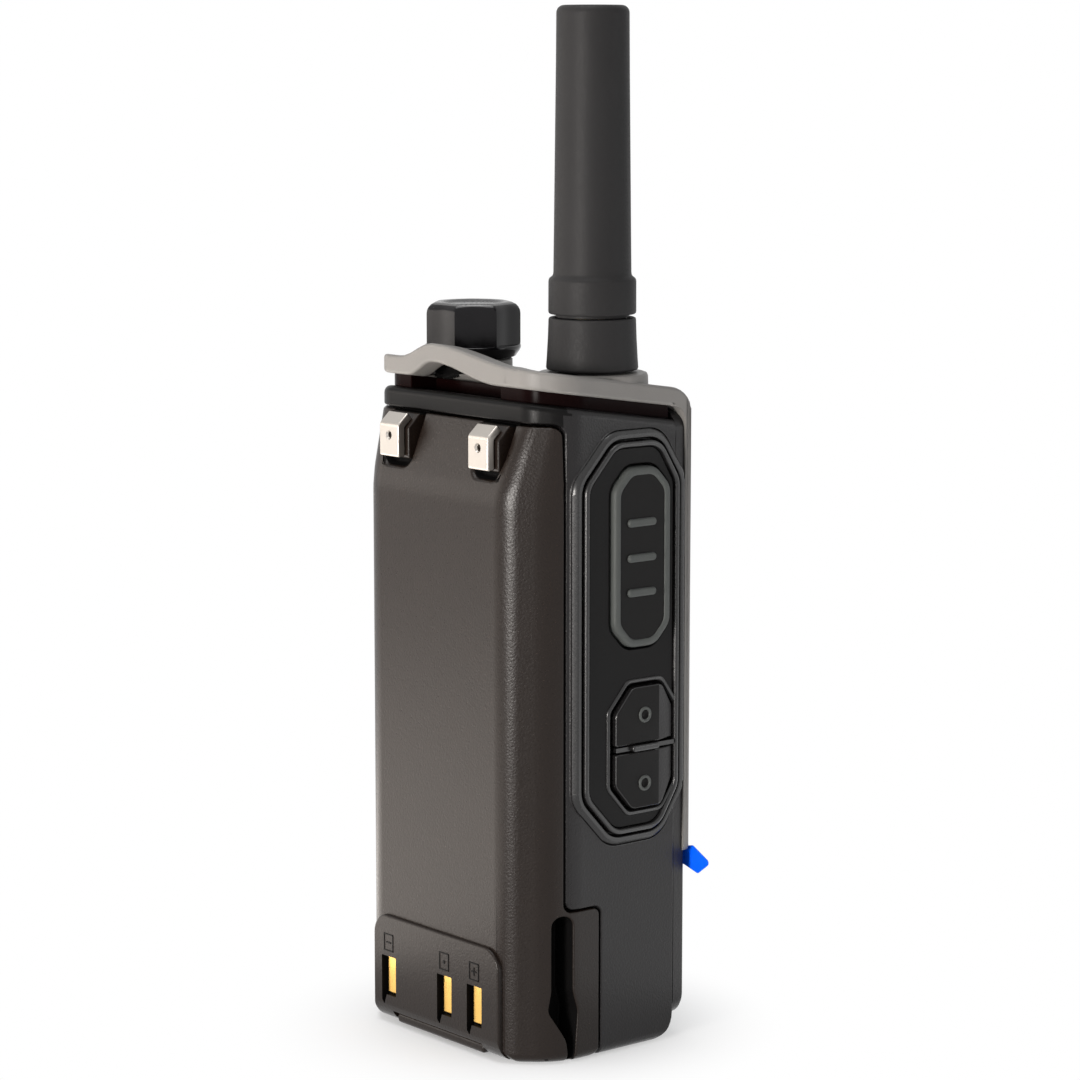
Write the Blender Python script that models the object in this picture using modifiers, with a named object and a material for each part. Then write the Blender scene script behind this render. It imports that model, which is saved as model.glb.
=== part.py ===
"""Hand-held two-way radio with a removable battery.

The origin is on the bottom face. +Z is up, the front faces -Y, the battery is at +Y,
and the push-to-talk side is -X.
"""

import math

import bmesh
import bpy
from mathutils import Matrix, Vector

MM = 0.001

# Clearances
GAP = 0.3 * MM
RUNNING_GAP = 0.3 * MM
CUT_PAST = 2.0 * MM

# Body
BODY_WIDTH = 54.0 * MM
WALL = 2.0 * MM
PART_LINE_Y = -15.1 * MM
FRONT_Y = -20.3 * MM
BACK_Y = 19.0 * MM
SEAM_Y = 10.0 * MM
LOW_SEAM_Y = 2.1 * MM
SEAM_STEP_Z = 28.4 * MM
SEAM_CORNER = 1.6 * MM
CROWN_CORNER = 1.8 * MM
STRIP_HEIGHT = 4.1 * MM
TOE_RADIUS = 5.0 * MM
FOOT_RADIUS = 2.0 * MM

# Sloping top, with its heights taken at the rear edge
TOP_REAR_Y = 14.75 * MM
TOP_SLOPE = 0.15
HOUSING_TOP_Z = 121.4 * MM
ROOF_THICKNESS = 2.6 * MM
LIGHT_BAR_HEIGHT = 1.7 * MM
LIGHT_BAR_INSET = 0.9 * MM
COVER_THICKNESS = 3.5 * MM
TOP_FLAT_WIDTH = 43.0 * MM
TOP_CHAMFER = 5.0 * MM
TOP_FRONT_RADIUS = 6.0 * MM
TOP_SIDE_ROUND = 8.0 * MM
TOP_REAR_ROUND = 6.0 * MM

# Grey rim round the front
RIM_WIDTH = 2.6 * MM
RIM_DEPTH_TOP = 2.8 * MM
RIM_DEPTH_BOTTOM = 1.4 * MM
RIM_BOTTOM_Z = 6.0 * MM
RIM_CORNER = 8.0 * MM
RIM_ROUND = 1.6 * MM
WINDOW_DROP = 9.4 * MM

# Lanyard arch in the rear edge of the top cover
ARCH_DEPTH = 4.5 * MM
ARCH_SLOT = 2.9 * MM
ARCH_RISE = 2.9 * MM
ARCH_SINK = 0.25 * MM
ARCH_START_X = -19.0 * MM
ARCH_PEAK_X = 5.5 * MM
ARCH_END_X = 15.5 * MM
ARCH_UNDER_START_X = -12.0 * MM
ARCH_UNDER_END_X = 13.5 * MM

# Front cover
FRONT_WALL = 1.8 * MM
FLANGE_INSET = 1.2 * MM
FLANGE_THICKNESS = 1.1 * MM
SEAL_THICKNESS = 0.5 * MM
SEAL_WIDTH = 1.7 * MM
SPEAKER_DROP = 22.0 * MM
SPEAKER_RADIUS = 17.0 * MM
SPEAKER_DEPTH = 7.0 * MM
GRILLE_SLOTS = 7
GRILLE_PITCH = 3.6 * MM
GRILLE_SLOT_HEIGHT = 1.6 * MM
GRILLE_RADIUS = 15.0 * MM
SCREEN_Z = 50.0 * MM
SCREEN_WIDTH = 38.0 * MM
SCREEN_HEIGHT = 30.0 * MM
SCREEN_LEDGE = 1.5 * MM
LENS_THICKNESS = 0.9 * MM
SCREEN_MODULE_DEPTH = 2.3 * MM
FILM_THICKNESS = 0.2 * MM
FILM_MARGIN = 1.0 * MM
TAB_REACH = 4.8 * MM
TAB_WIDTH = 5.2 * MM
TAB_SKEW = 3.0 * MM
KEY_Z = 19.0 * MM
KEY_PITCH = 13.5 * MM
KEY_WIDTH = 10.5 * MM
KEY_HEIGHT = 7.5 * MM
KEY_PROUD = 0.7 * MM
KEY_TRAVEL = 0.6 * MM
MIC_X = 17.0 * MM
MIC_Z = 29.0 * MM
MIC_RADIUS = 2.2 * MM
MIC_HOLE_RADIUS = 0.7 * MM

# Side panel with the push-to-talk button and the two keys
PANEL_REAR_Y = 7.0 * MM
PANEL_FRONT_Y = -15.8 * MM
PANEL_LOW_Z = 41.3 * MM
PANEL_DROP = 7.6 * MM
PANEL_CUT_REAR = 7.0 * MM
PANEL_CUT_FRONT = 4.8 * MM
PANEL_CUT_Z = 7.6 * MM
PANEL_PROUD = 1.5 * MM
PANEL_THICKNESS = 2.0 * MM
PAD_MARGIN = 1.5 * MM
PAD_PROUD = 0.9 * MM
PTT_REAR_Y = 1.2 * MM
PTT_FRONT_Y = -12.8 * MM
PTT_DROP = 4.8 * MM
PTT_HEIGHT = 33.2 * MM
PTT_CUT = 3.6 * MM
PTT_PROUD = 2.4 * MM
PTT_BORDER = 2.2 * MM
PTT_TRAVEL = 1.0 * MM
BAR_COUNT = 3
BAR_LENGTH = 6.7 * MM
BAR_HEIGHT = 1.4 * MM
BAR_PITCH = 6.5 * MM
BAR_PROUD = 0.5 * MM
SIDE_KEY_REAR_Y = 0.2 * MM
SIDE_KEY_FRONT_Y = -14.0 * MM
SIDE_KEY_LOW_Z = 46.0 * MM
SIDE_KEY_HIGH_Z = 68.6 * MM
SIDE_KEY_CUT = 3.8 * MM
SIDE_KEY_PROUD = 2.0 * MM
SIDE_KEY_TRAVEL = 0.7 * MM
KEY_WEB = 1.0 * MM
KEY_RING_RADIUS = 1.3 * MM
BUTTON_FLANGE = 1.0 * MM
SWITCH_HEIGHT = 2.0 * MM
SWITCH_SIZE = 5.0 * MM
BOARD_THICKNESS = 1.0 * MM

# Volume control
KNOB_X = 16.0 * MM
KNOB_Y = -2.4 * MM
KNOB_RADIUS = 9.1 * MM
KNOB_RISE = 5.2 * MM
KNOB_HEIGHT = 10.4 * MM
KNOB_FLUTES = 7
FLUTE_RADIUS = 7.5 * MM
FLUTE_DEPTH = 1.0 * MM
KNOB_SKIRT = 2.3 * MM
KNOB_NECK_RADIUS = 7.5 * MM
SHAFT_RADIUS = 2.9 * MM
BUSHING_RADIUS = 4.0 * MM
POT_RADIUS = 5.6 * MM
POT_HEIGHT = 6.5 * MM
NUT_RADIUS = 5.6 * MM
NUT_HEIGHT = 1.8 * MM

# Antenna
ANTENNA_X = -16.5 * MM
ANTENNA_Y = -4.5 * MM
COLLAR_RADIUS = 10.2 * MM
COLLAR_RISE = 4.0 * MM
BOSS_GAP = 0.5 * MM
BOSS_HEIGHT = 9.0 * MM
BOSS_LOW_RADIUS = 8.4 * MM
BOSS_TOP_RADIUS = 8.0 * MM
SPIGOT_RADIUS = 6.0 * MM
SOCKET_RADIUS = 4.3 * MM
SOCKET_FLANGE_RADIUS = 6.5 * MM
STUD_RADIUS = 2.7 * MM
FERRULE_RADIUS = 4.7 * MM
SEAL_WIRE_RADIUS = 0.8 * MM
ANTENNA_GAP = 0.8 * MM
ANTENNA_HEIGHT = 65.6 * MM
RING_RADIUS = 8.0 * MM
RING_HEIGHT = 6.4 * MM
ROD_LOW_RADIUS = 7.1 * MM
ROD_TOP_RADIUS = 6.6 * MM
ROD_TIP_ROUND = 1.4 * MM

# Inside the body
CHASSIS_THICKNESS = 2.3 * MM
CHASSIS_LOW_Z = 42.0 * MM
CHASSIS_DROP = 13.4 * MM
MAIN_BOARD_Y = -9.0 * MM
MAIN_BOARD_LOW_Z = 11.0 * MM
MAIN_BOARD_DROP = 3.0 * MM
CHASSIS_POST_RADIUS = 2.2 * MM
CHASSIS_POST_INSET = 3.2 * MM
SHIELD_HEIGHT = 3.0 * MM
CONTACT_BLOCK_WIDTH = 16.0 * MM
CONTACT_BLOCK_HEIGHT = 6.0 * MM
CONTACT_BLOCK_Z = 35.5 * MM
SCREW_RADIUS = 1.2 * MM
SCREW_HEAD_RADIUS = 2.2 * MM
SCREW_HEAD_HEIGHT = 0.9 * MM
SCREW_LENGTH = 4.0 * MM
SCREW_INSET_X = 8.0 * MM
SCREW_INSET_Z = 6.0 * MM

# Accessory socket on the far side
JACK_Z = 84.0 * MM
JACK_Y = -2.0 * MM
JACK_COVER_WIDTH = 12.0 * MM
JACK_COVER_HEIGHT = 28.0 * MM
JACK_COVER_THICKNESS = 2.4 * MM
JACK_COVER_SUNK = 1.1 * MM
JACK_BLOCK_DEPTH = 9.0 * MM
JACK_HOLE_PITCH = 11.4 * MM
JACK_HOLE_RADII = (2.0 * MM, 1.5 * MM)

# Battery
BACK_FLAT_WIDTH = 39.4 * MM
BACK_CHAMFER = 7.3 * MM
CHAMFER_ROUND = 12.0 * MM
FLAT_EDGE_ROUND = 7.0 * MM
RAMP_HEIGHT = 12.8 * MM
BATTERY_WALL = 1.8 * MM
CELL_BAY_WIDTH = 37.0 * MM
CELL_BAY_LOW_Z = 31.0 * MM
CELL_BAY_DROP = 2.5 * MM
INNER_COVER_THICKNESS = 1.5 * MM
CELL_HEIGHT = 62.0 * MM
CONTACT_PANEL_WIDTH = 38.4 * MM
CONTACT_PANEL_LOW_Z = 3.0 * MM
CONTACT_PANEL_HIGH_Z = 21.1 * MM
CONTACT_PANEL_PROUD = 0.8 * MM
CONTACT_PANEL_CORNER = 4.0 * MM
CONTACT_X = (13.9 * MM, -3.3 * MM, -12.3 * MM)
CONTACT_WIDTH = 3.2 * MM
CONTACT_LOW_Z = 5.9 * MM
CONTACT_HIGH_Z = 12.9 * MM
CONTACT_THICKNESS = 0.6 * MM
CONTACT_SUNK = 0.9 * MM
CONTACT_SLOT_SIDE = 0.9 * MM
CONTACT_SLOT_FOOT = 2.0 * MM
GUIDE_REAR_Y = 12.6 * MM
GUIDE_FRONT_Y = 8.1 * MM
GUIDE_TOP_Z = 27.0 * MM
GUIDE_DEPTH = 5.0 * MM
GUIDE_MOUTH_Z = 9.5 * MM
GUIDE_MOUTH_FLARE = 1.1 * MM
GUIDE_MOUTH_DEPTH = 1.7 * MM

# Belt-clip plates on the battery
PLATE_X = 13.3 * MM
PLATE_WIDTH = 5.8 * MM
PLATE_HEIGHT = 5.8 * MM
PLATE_DROP = 2.3 * MM
PLATE_BEND = 2.2 * MM
PLATE_THICKNESS = 1.2 * MM
PLATE_PROUD = 0.65 * MM
PLATE_HOLE_DROP = 2.1 * MM
PLATE_HOLE_RADIUS = 0.85 * MM
BLOCK_MARGIN = 0.9 * MM
POCKET_DEPTH = 0.9 * MM
POCKET_MARGIN = 2.0 * MM
POCKET_TAPER = 1.6 * MM

# Battery latch under the battery
LATCH_WIDTH = 26.6 * MM
LATCH_HEIGHT = 4.5 * MM
LATCH_DEPTH = 8.0 * MM
LATCH_LIP_HEIGHT = 2.0 * MM
LATCH_LIP_DEPTH = 2.6 * MM
LATCH_TRAVEL = 2.0 * MM
LATCH_LIFT = 0.3 * MM
LATCH_SET_BACK = 0.4 * MM
SPRING_RADIUS = 1.0 * MM
SPRING_WIRE = 0.2 * MM
SPRING_LENGTH = 5.0 * MM
SPRING_TURNS = 5
SPRING_STEPS = 8

# Places that follow from the sizes above
SEAM_TOP_Z = HOUSING_TOP_Z - STRIP_HEIGHT
WINDOW_TOP_Z = HOUSING_TOP_Z - WINDOW_DROP
SPEAKER_Z = WINDOW_TOP_Z - SPEAKER_DROP
PANEL_HIGH_Z = HOUSING_TOP_Z - PANEL_DROP
PTT_HIGH_Z = PANEL_HIGH_Z - PTT_DROP
PTT_LOW_Z = PTT_HIGH_Z - PTT_HEIGHT
KNOB_LOW_Z = HOUSING_TOP_Z + KNOB_RISE
COLLAR_TOP_Z = HOUSING_TOP_Z + COLLAR_RISE
BOSS_LOW_Z = COLLAR_TOP_Z + BOSS_GAP
ANTENNA_TOP_Z = BOSS_LOW_Z + ANTENNA_HEIGHT
CHASSIS_HIGH_Z = HOUSING_TOP_Z - CHASSIS_DROP
MAIN_BOARD_HIGH_Z = CHASSIS_HIGH_Z - MAIN_BOARD_DROP
RAMP_LOW_Z = SEAM_TOP_Z - RAMP_HEIGHT
CELL_BAY_HIGH_Z = RAMP_LOW_Z - CELL_BAY_DROP
PLATE_BEND_Z = SEAM_TOP_Z - PLATE_DROP
PLATE_LOW_Z = PLATE_BEND_Z - PLATE_HEIGHT
PLATE_HOLE_Z = PLATE_BEND_Z - PLATE_HOLE_DROP
HALF = BODY_WIDTH / 2
INNER = HALF - WALL
HOUSING_SEAM_Y = SEAM_Y - GAP / 2
HOUSING_LOW_Y = LOW_SEAM_Y - GAP / 2
BATTERY_SEAM_Y = SEAM_Y + GAP / 2
BATTERY_LOW_Y = LOW_SEAM_Y + GAP / 2
BATTERY_TOP_Z = SEAM_TOP_Z - GAP / 2
LIGHT_BAR_Z = HOUSING_TOP_Z + GAP
COVER_LOW_Z = LIGHT_BAR_Z + LIGHT_BAR_HEIGHT + GAP
COVER_TOP_Z = COVER_LOW_Z + COVER_THICKNESS
RIM_BACK_Y = FRONT_Y + RIM_DEPTH_TOP
SEAL_FRONT_Y = PART_LINE_Y - GAP - SEAL_THICKNESS
FLANGE_BACK_Y = SEAL_FRONT_Y - GAP
FLANGE_FRONT_Y = RIM_BACK_Y + GAP
FRONT_INNER_Y = FRONT_Y + FRONT_WALL
BEZEL_X = -HALF - PANEL_PROUD
BEZEL_BACK_X = BEZEL_X + PANEL_THICKNESS
ARC_STEPS = 4
ROUND_STEPS = 32


def clear_scene():
    for obj in list(bpy.data.objects):
        bpy.data.objects.remove(obj, do_unlink=True)


clear_scene()
parts = bpy.data.collections.new("portable_radio")
cutters = bpy.data.collections.new("cutters")
for group in (parts, cutters):
    bpy.context.scene.collection.children.link(group)


def finish_material(name, colour, roughness, metallic=0.0):
    material = bpy.data.materials.new(name)
    material.use_nodes = True
    shader = material.node_tree.nodes["Principled BSDF"]
    shader.inputs["Base Color"].default_value = (*colour, 1.0)
    shader.inputs["Roughness"].default_value = roughness
    shader.inputs["Metallic"].default_value = metallic
    return material


FINISHES = {
    "black_case": ((0.02, 0.019, 0.018), 0.55, 0.0),
    "battery_black": ((0.03, 0.027, 0.026), 0.6, 0.0),
    "grey_trim": ((0.16, 0.16, 0.155), 0.5, 0.0),
    "smoked_strip": ((0.01, 0.006, 0.006), 0.12, 0.0),
    "black_rubber": ((0.015, 0.015, 0.015), 0.75, 0.0),
    "gloss_black": ((0.012, 0.012, 0.013), 0.25, 0.0),
    "antenna_black": ((0.022, 0.022, 0.024), 0.5, 0.0),
    "steel": ((0.62, 0.6, 0.57), 0.35, 1.0),
    "brass": ((0.75, 0.58, 0.3), 0.3, 1.0),
    "gold": ((0.85, 0.58, 0.2), 0.25, 1.0),
    "cast_alloy": ((0.45, 0.45, 0.46), 0.5, 1.0),
    "circuit_board": ((0.02, 0.13, 0.05), 0.5, 0.0),
    "window_glass": ((0.01, 0.011, 0.013), 0.08, 0.0),
    "blue_film": ((0.0, 0.11, 0.85), 0.3, 0.0),
    "cell_wrap": ((0.12, 0.2, 0.45), 0.45, 0.0),
    "speaker_paper": ((0.03, 0.03, 0.03), 0.85, 0.0),
}
MATERIALS = {name: finish_material(name, *values) for name, values in FINISHES.items()}


# Modelling helpers


def adopt(obj, finish):
    obj.data.materials.clear()
    obj.data.materials.append(MATERIALS[finish])
    for group in list(obj.users_collection):
        group.objects.unlink(obj)
    parts.objects.link(obj)
    return obj


def new_object(name, mesh):
    obj = bpy.data.objects.new(name, mesh)
    bpy.context.scene.collection.objects.link(obj)
    return obj


def from_bmesh(name, shape):
    mesh = bpy.data.meshes.new(name)
    shape.to_mesh(mesh)
    shape.free()
    return new_object(name, mesh)


def use_as_tool(obj):
    for group in list(obj.users_collection):
        group.objects.unlink(obj)
    cutters.objects.link(obj)
    obj.hide_render = True
    obj.display_type = "WIRE"


def combine(obj, tool, operation):
    modifier = obj.modifiers.new(operation.title(), "BOOLEAN")
    modifier.operation = operation
    modifier.object = tool
    use_as_tool(tool)
    return obj


def cut(obj, tool):
    return combine(obj, tool, "DIFFERENCE")


def join(obj, tool):
    return combine(obj, tool, "UNION")


def keep(obj, tool):
    return combine(obj, tool, "INTERSECT")


def bevel(obj, width, segments=2, angle=math.radians(40)):
    modifier = obj.modifiers.new("Bevel", "BEVEL")
    modifier.width = width
    modifier.segments = segments
    modifier.limit_method = "ANGLE"
    modifier.angle_limit = angle
    return obj


def smooth(obj, angle=math.radians(35)):
    obj.data.shade_smooth()
    obj.data.set_sharp_from_angle(angle=angle)
    return obj


def set_origin(obj, point):
    obj.data.transform(Matrix.Translation(-Vector(point)) @ obj.matrix_world)
    obj.matrix_world = Matrix.Translation(point)
    return obj


def rounded(corners, steps=ARC_STEPS):
    """A closed outline through corners of (u, v) or (u, v, radius), with an arc at each radius."""
    outline = []
    count = len(corners)
    for index, corner in enumerate(corners):
        here = Vector(corner[:2])
        radius = corner[2] if len(corner) == 3 else 0.0
        if not radius:
            outline.append(tuple(here))
            continue
        back = (Vector(corners[index - 1][:2]) - here).normalized()
        ahead = (Vector(corners[(index + 1) % count][:2]) - here).normalized()
        half_angle = back.angle(ahead) / 2
        centre = here + (back + ahead).normalized() * radius / math.sin(half_angle)
        start = here + back * radius / math.tan(half_angle) - centre
        end = here + ahead * radius / math.tan(half_angle) - centre
        sweep = start.angle_signed(end)
        for step in range(steps + 1):
            outline.append(tuple(centre + Matrix.Rotation(-sweep * step / steps, 2) @ start))
    return outline


def rectangle(u_low, u_high, v_low, v_high, radius=0.0):
    return rounded([(u_low, v_low, radius), (u_high, v_low, radius),
                    (u_high, v_high, radius), (u_low, v_high, radius)])


# An outline is drawn in (y, z), (x, z) or (x, y) and pulled along the remaining axis.
PULLS = {
    "X": (Matrix(((0, 0, 1), (1, 0, 0), (0, 1, 0))), Vector((1, 0, 0))),
    "Y": (Matrix(((1, 0, 0), (0, 0, -1), (0, 1, 0))), Vector((0, 1, 0))),
    "Z": (Matrix.Identity(3), Vector((0, 0, 1))),
}


def meshed(guide):
    """The mesh object of a curve, with its caps welded to its sides."""
    bpy.context.view_layer.update()
    graph = bpy.context.evaluated_depsgraph_get()
    mesh = bpy.data.meshes.new_from_object(guide.evaluated_get(graph))
    shape = bmesh.new()
    shape.from_mesh(mesh)
    bmesh.ops.remove_doubles(shape, verts=shape.verts, dist=0.001 * MM)
    bmesh.ops.recalc_face_normals(shape, faces=shape.faces)
    shape.to_mesh(mesh)
    shape.free()
    obj = new_object(guide.name, mesh)
    obj.matrix_world = guide.matrix_world
    bpy.data.objects.remove(guide, do_unlink=True)
    return obj


def prism(name, axis, low, high, *outlines):
    """Flat outlines pulled from low to high along an axis. A second outline is a hole."""
    curve = bpy.data.curves.new(name, "CURVE")
    curve.dimensions = "2D"
    curve.fill_mode = "BOTH"
    curve.extrude = (high - low) / 2
    for outline in outlines:
        spline = curve.splines.new("POLY")
        spline.points.add(len(outline) - 1)
        for point, (u, v) in zip(spline.points, outline):
            point.co = (u, v, 0.0, 1.0)
        spline.use_cyclic_u = True
    guide = new_object(name + "_outline", curve)
    turn, along = PULLS[axis]
    guide.matrix_world = Matrix.Translation(along * (low + high) / 2) @ turn.to_4x4()
    obj = meshed(guide)
    obj.name = name
    return obj


def box(name, x_range, y_range, z_range):
    low = Vector((x_range[0], y_range[0], z_range[0]))
    high = Vector((x_range[1], y_range[1], z_range[1]))
    shape = bmesh.new()
    place = Matrix.Translation((low + high) / 2) @ Matrix.Diagonal(high - low).to_4x4()
    bmesh.ops.create_cube(shape, size=1.0, matrix=place)
    return from_bmesh(name, shape)


def cylinder(name, axis, centre, low, high, radius, steps=ROUND_STEPS):
    """A round bar. The centre is given in the two other axes, in their x, y, z order."""
    turn, along = PULLS[axis]
    shape = bmesh.new()
    bmesh.ops.create_cone(shape, cap_ends=True, segments=steps, radius1=radius, radius2=radius,
                          depth=high - low)
    across = [Vector(unit) for unit in ((1, 0, 0), (0, 1, 0), (0, 0, 1)) if not along.dot(Vector(unit))]
    middle = across[0] * centre[0] + across[1] * centre[1] + along * (low + high) / 2
    shape.transform(Matrix.Translation(middle) @ turn.to_4x4())
    return smooth(from_bmesh(name, shape))


def turned(name, place, profile, steps=ROUND_STEPS, closed=False):
    """A profile of (radius, height), outer side running down, turned about the vertical."""
    shape = bmesh.new()
    points = [shape.verts.new((radius, 0.0, height)) for radius, height in profile]
    for first, second in zip(points, points[1:] + points[:1] if closed else points[1:]):
        shape.edges.new((first, second))
    obj = from_bmesh(name, shape)
    obj.location = place
    screw = obj.modifiers.new("Turn", "SCREW")
    screw.steps = steps
    screw.render_steps = steps
    screw.use_merge_vertices = True
    screw.merge_threshold = 0.01 * MM
    return obj


def octagon(y_range, z_range, rear_cut, front_cut, z_cut, grow=0.0, radius=1.0 * MM):
    """The eight-sided outline of the side controls in (y, z), grown by a margin all round."""
    front, rear = y_range[0] - grow, y_range[1] + grow
    low, high = z_range[0] - grow, z_range[1] + grow
    spread = grow * (2 - math.sqrt(2))
    rear_cut, front_cut, z_cut = rear_cut + spread, front_cut + spread, z_cut + spread
    return rounded([(front + front_cut, low, radius), (rear - rear_cut, low, radius),
                    (rear, low + z_cut, radius), (rear, high - z_cut, radius),
                    (rear - rear_cut, high, radius), (front + front_cut, high, radius),
                    (front, high - z_cut, radius), (front, low + z_cut, radius)], steps=2)


def slope_z(height, y):
    """Height on the sloping top, from its height at the rear edge."""
    return height + TOP_SLOPE * (y - TOP_REAR_Y)


def top_plan(inset=0.0, front_y=FRONT_Y):
    """Outline of the top seen from above, with chamfered rear corners."""
    half, flat, rear = HALF - inset, TOP_FLAT_WIDTH / 2 - inset, TOP_REAR_Y - inset
    side = TOP_REAR_Y - TOP_CHAMFER - inset
    return rounded([(-half, front_y, RIM_ROUND), (half, front_y, RIM_ROUND),
                    (half, side, TOP_SIDE_ROUND), (flat, rear, TOP_REAR_ROUND),
                    (-flat, rear, TOP_REAR_ROUND), (-half, side, TOP_SIDE_ROUND)])


def panel_outline(grow=0.0):
    return octagon((PANEL_FRONT_Y, PANEL_REAR_Y), (PANEL_LOW_Z, PANEL_HIGH_Z),
                   PANEL_CUT_REAR, PANEL_CUT_FRONT, PANEL_CUT_Z, grow)


def ptt_outline(grow=0.0):
    return octagon((PTT_FRONT_Y, PTT_REAR_Y), (PTT_LOW_Z, PTT_HIGH_Z), PTT_CUT, PTT_CUT, PTT_CUT, grow)


SIDE_KEY_MIDDLE_Z = (SIDE_KEY_LOW_Z + SIDE_KEY_HIGH_Z) / 2


def side_key_outline(upper, grow=0.0, web=KEY_WEB / 2 + RUNNING_GAP):
    """Half of the eight-sided key pad, above or below the web between the keys."""
    front, rear = SIDE_KEY_FRONT_Y - grow, SIDE_KEY_REAR_Y + grow
    cut_size = SIDE_KEY_CUT + grow * (2 - math.sqrt(2))
    side = 1 if upper else -1
    end = (SIDE_KEY_HIGH_Z if upper else SIDE_KEY_LOW_Z) + side * grow
    middle = SIDE_KEY_MIDDLE_Z + side * web
    radius = 0.6 * MM
    corners = [(front, middle, radius), (rear, middle, radius), (rear, end - side * cut_size, radius),
               (rear - cut_size, end, radius), (front + cut_size, end, radius),
               (front, end - side * cut_size, radius)]
    return rounded(corners if upper else corners[::-1], steps=2)


# Casing


def make_rear_housing():
    profile = rounded([(PART_LINE_Y, 0.0, TOE_RADIUS), (HOUSING_LOW_Y, 0.0),
                       (HOUSING_LOW_Y, SEAM_STEP_Z + GAP / 2, SEAM_CORNER),
                       (HOUSING_SEAM_Y, SEAM_STEP_Z + GAP / 2, SEAM_CORNER),
                       (HOUSING_SEAM_Y, SEAM_TOP_Z + GAP / 2, CROWN_CORNER + GAP),
                       (TOP_REAR_Y, SEAM_TOP_Z + GAP / 2),
                       (TOP_REAR_Y, HOUSING_TOP_Z, 0.8 * MM),
                       (PART_LINE_Y, slope_z(HOUSING_TOP_Z, PART_LINE_Y))])
    housing = prism("rear_housing", "X", -HALF, HALF, profile)
    keep(housing, prism("housing_plan", "Z", -CUT_PAST, HOUSING_TOP_Z + CUT_PAST, top_plan()))
    front_view = rounded([(-HALF, 0.0, FOOT_RADIUS), (HALF, 0.0, FOOT_RADIUS),
                          (HALF, HOUSING_TOP_Z + CUT_PAST), (-HALF, HOUSING_TOP_Z + CUT_PAST)])
    keep(housing, prism("housing_front_view", "Y", FRONT_Y, TOP_REAR_Y + CUT_PAST, front_view))

    # The side pad round the control panel reaches forward over the front cover's flank.
    pad = prism("side_pad", "X", -HALF - PAD_PROUD, BEZEL_BACK_X + GAP,
                octagon((PANEL_FRONT_Y, PANEL_REAR_Y), (PANEL_LOW_Z, PANEL_HIGH_Z),
                        PANEL_CUT_REAR, PANEL_CUT_FRONT, PANEL_CUT_Z, PAD_MARGIN))
    join(housing, bevel(pad, 0.5 * MM, 2))

    front_open = PART_LINE_Y - CUT_PAST
    roof = HOUSING_TOP_Z - ROOF_THICKNESS
    seam_wall = SEAM_STEP_Z + GAP / 2 + WALL
    cavity = [(front_open, WALL), (HOUSING_LOW_Y - WALL, WALL), (HOUSING_LOW_Y - WALL, seam_wall),
              (HOUSING_SEAM_Y - WALL, seam_wall),
              (HOUSING_SEAM_Y - WALL, slope_z(roof, HOUSING_SEAM_Y - WALL)),
              (front_open, slope_z(roof, front_open))]
    cut(housing, prism("housing_cavity", "X", -INNER, INNER, cavity))

    pocket = prism("panel_pocket", "X", -HALF - CUT_PAST, BEZEL_BACK_X + GAP, panel_outline(GAP))
    cut(housing, pocket)
    cut(housing, prism("ptt_opening", "X", -HALF - CUT_PAST, -INNER + CUT_PAST, ptt_outline(RUNNING_GAP)))
    for upper in (True, False):
        opening = side_key_outline(upper, RUNNING_GAP, KEY_WEB / 2)
        cut(housing, prism("key_opening", "X", -HALF - CUT_PAST, -INNER + CUT_PAST, opening))

    roof_span = (slope_z(roof, PART_LINE_Y) - CUT_PAST, HOUSING_TOP_Z + CUT_PAST)
    cut(housing, cylinder("pot_hole", "Z", (KNOB_X, KNOB_Y), *roof_span, BUSHING_RADIUS + GAP))
    cut(housing, cylinder("socket_hole", "Z", (ANTENNA_X, ANTENNA_Y), *roof_span, SOCKET_RADIUS + GAP))

    window = GAP + CONTACT_BLOCK_WIDTH / 2
    window_half = GAP + CONTACT_BLOCK_HEIGHT / 2
    cut(housing, box("contact_window", (-window, window),
                     (HOUSING_SEAM_Y - WALL - CUT_PAST, HOUSING_SEAM_Y + CUT_PAST),
                     (CONTACT_BLOCK_Z - window_half, CONTACT_BLOCK_Z + window_half)))
    for x, z in screw_places():
        cut(housing, cylinder("screw_hole", "Y", (x, z), HOUSING_SEAM_Y - WALL - CUT_PAST,
                              HOUSING_SEAM_Y + CUT_PAST, SCREW_RADIUS + GAP, 12))
        cut(housing, cylinder("screw_seat", "Y", (x, z), screw_seat_y() - GAP,
                              HOUSING_SEAM_Y + CUT_PAST, SCREW_HEAD_RADIUS + GAP, 16))

    # Shallow seat and two holes for the accessory socket on the far side.
    y_half, z_half = JACK_COVER_WIDTH / 2 + GAP, JACK_COVER_HEIGHT / 2 + GAP
    seat = rectangle(JACK_Y - y_half, JACK_Y + y_half, JACK_Z - z_half, JACK_Z + z_half, 2.5 * MM)
    cut(housing, prism("jack_seat", "X", HALF - JACK_COVER_SUNK - GAP, HALF + CUT_PAST, seat))
    for side, radius in zip((1, -1), JACK_HOLE_RADII):
        cut(housing, cylinder("jack_opening", "X", (JACK_Y, JACK_Z + side * JACK_HOLE_PITCH / 2),
                              INNER - CUT_PAST, HALF + CUT_PAST, radius, 16))
    return adopt(housing, "black_case")


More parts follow.
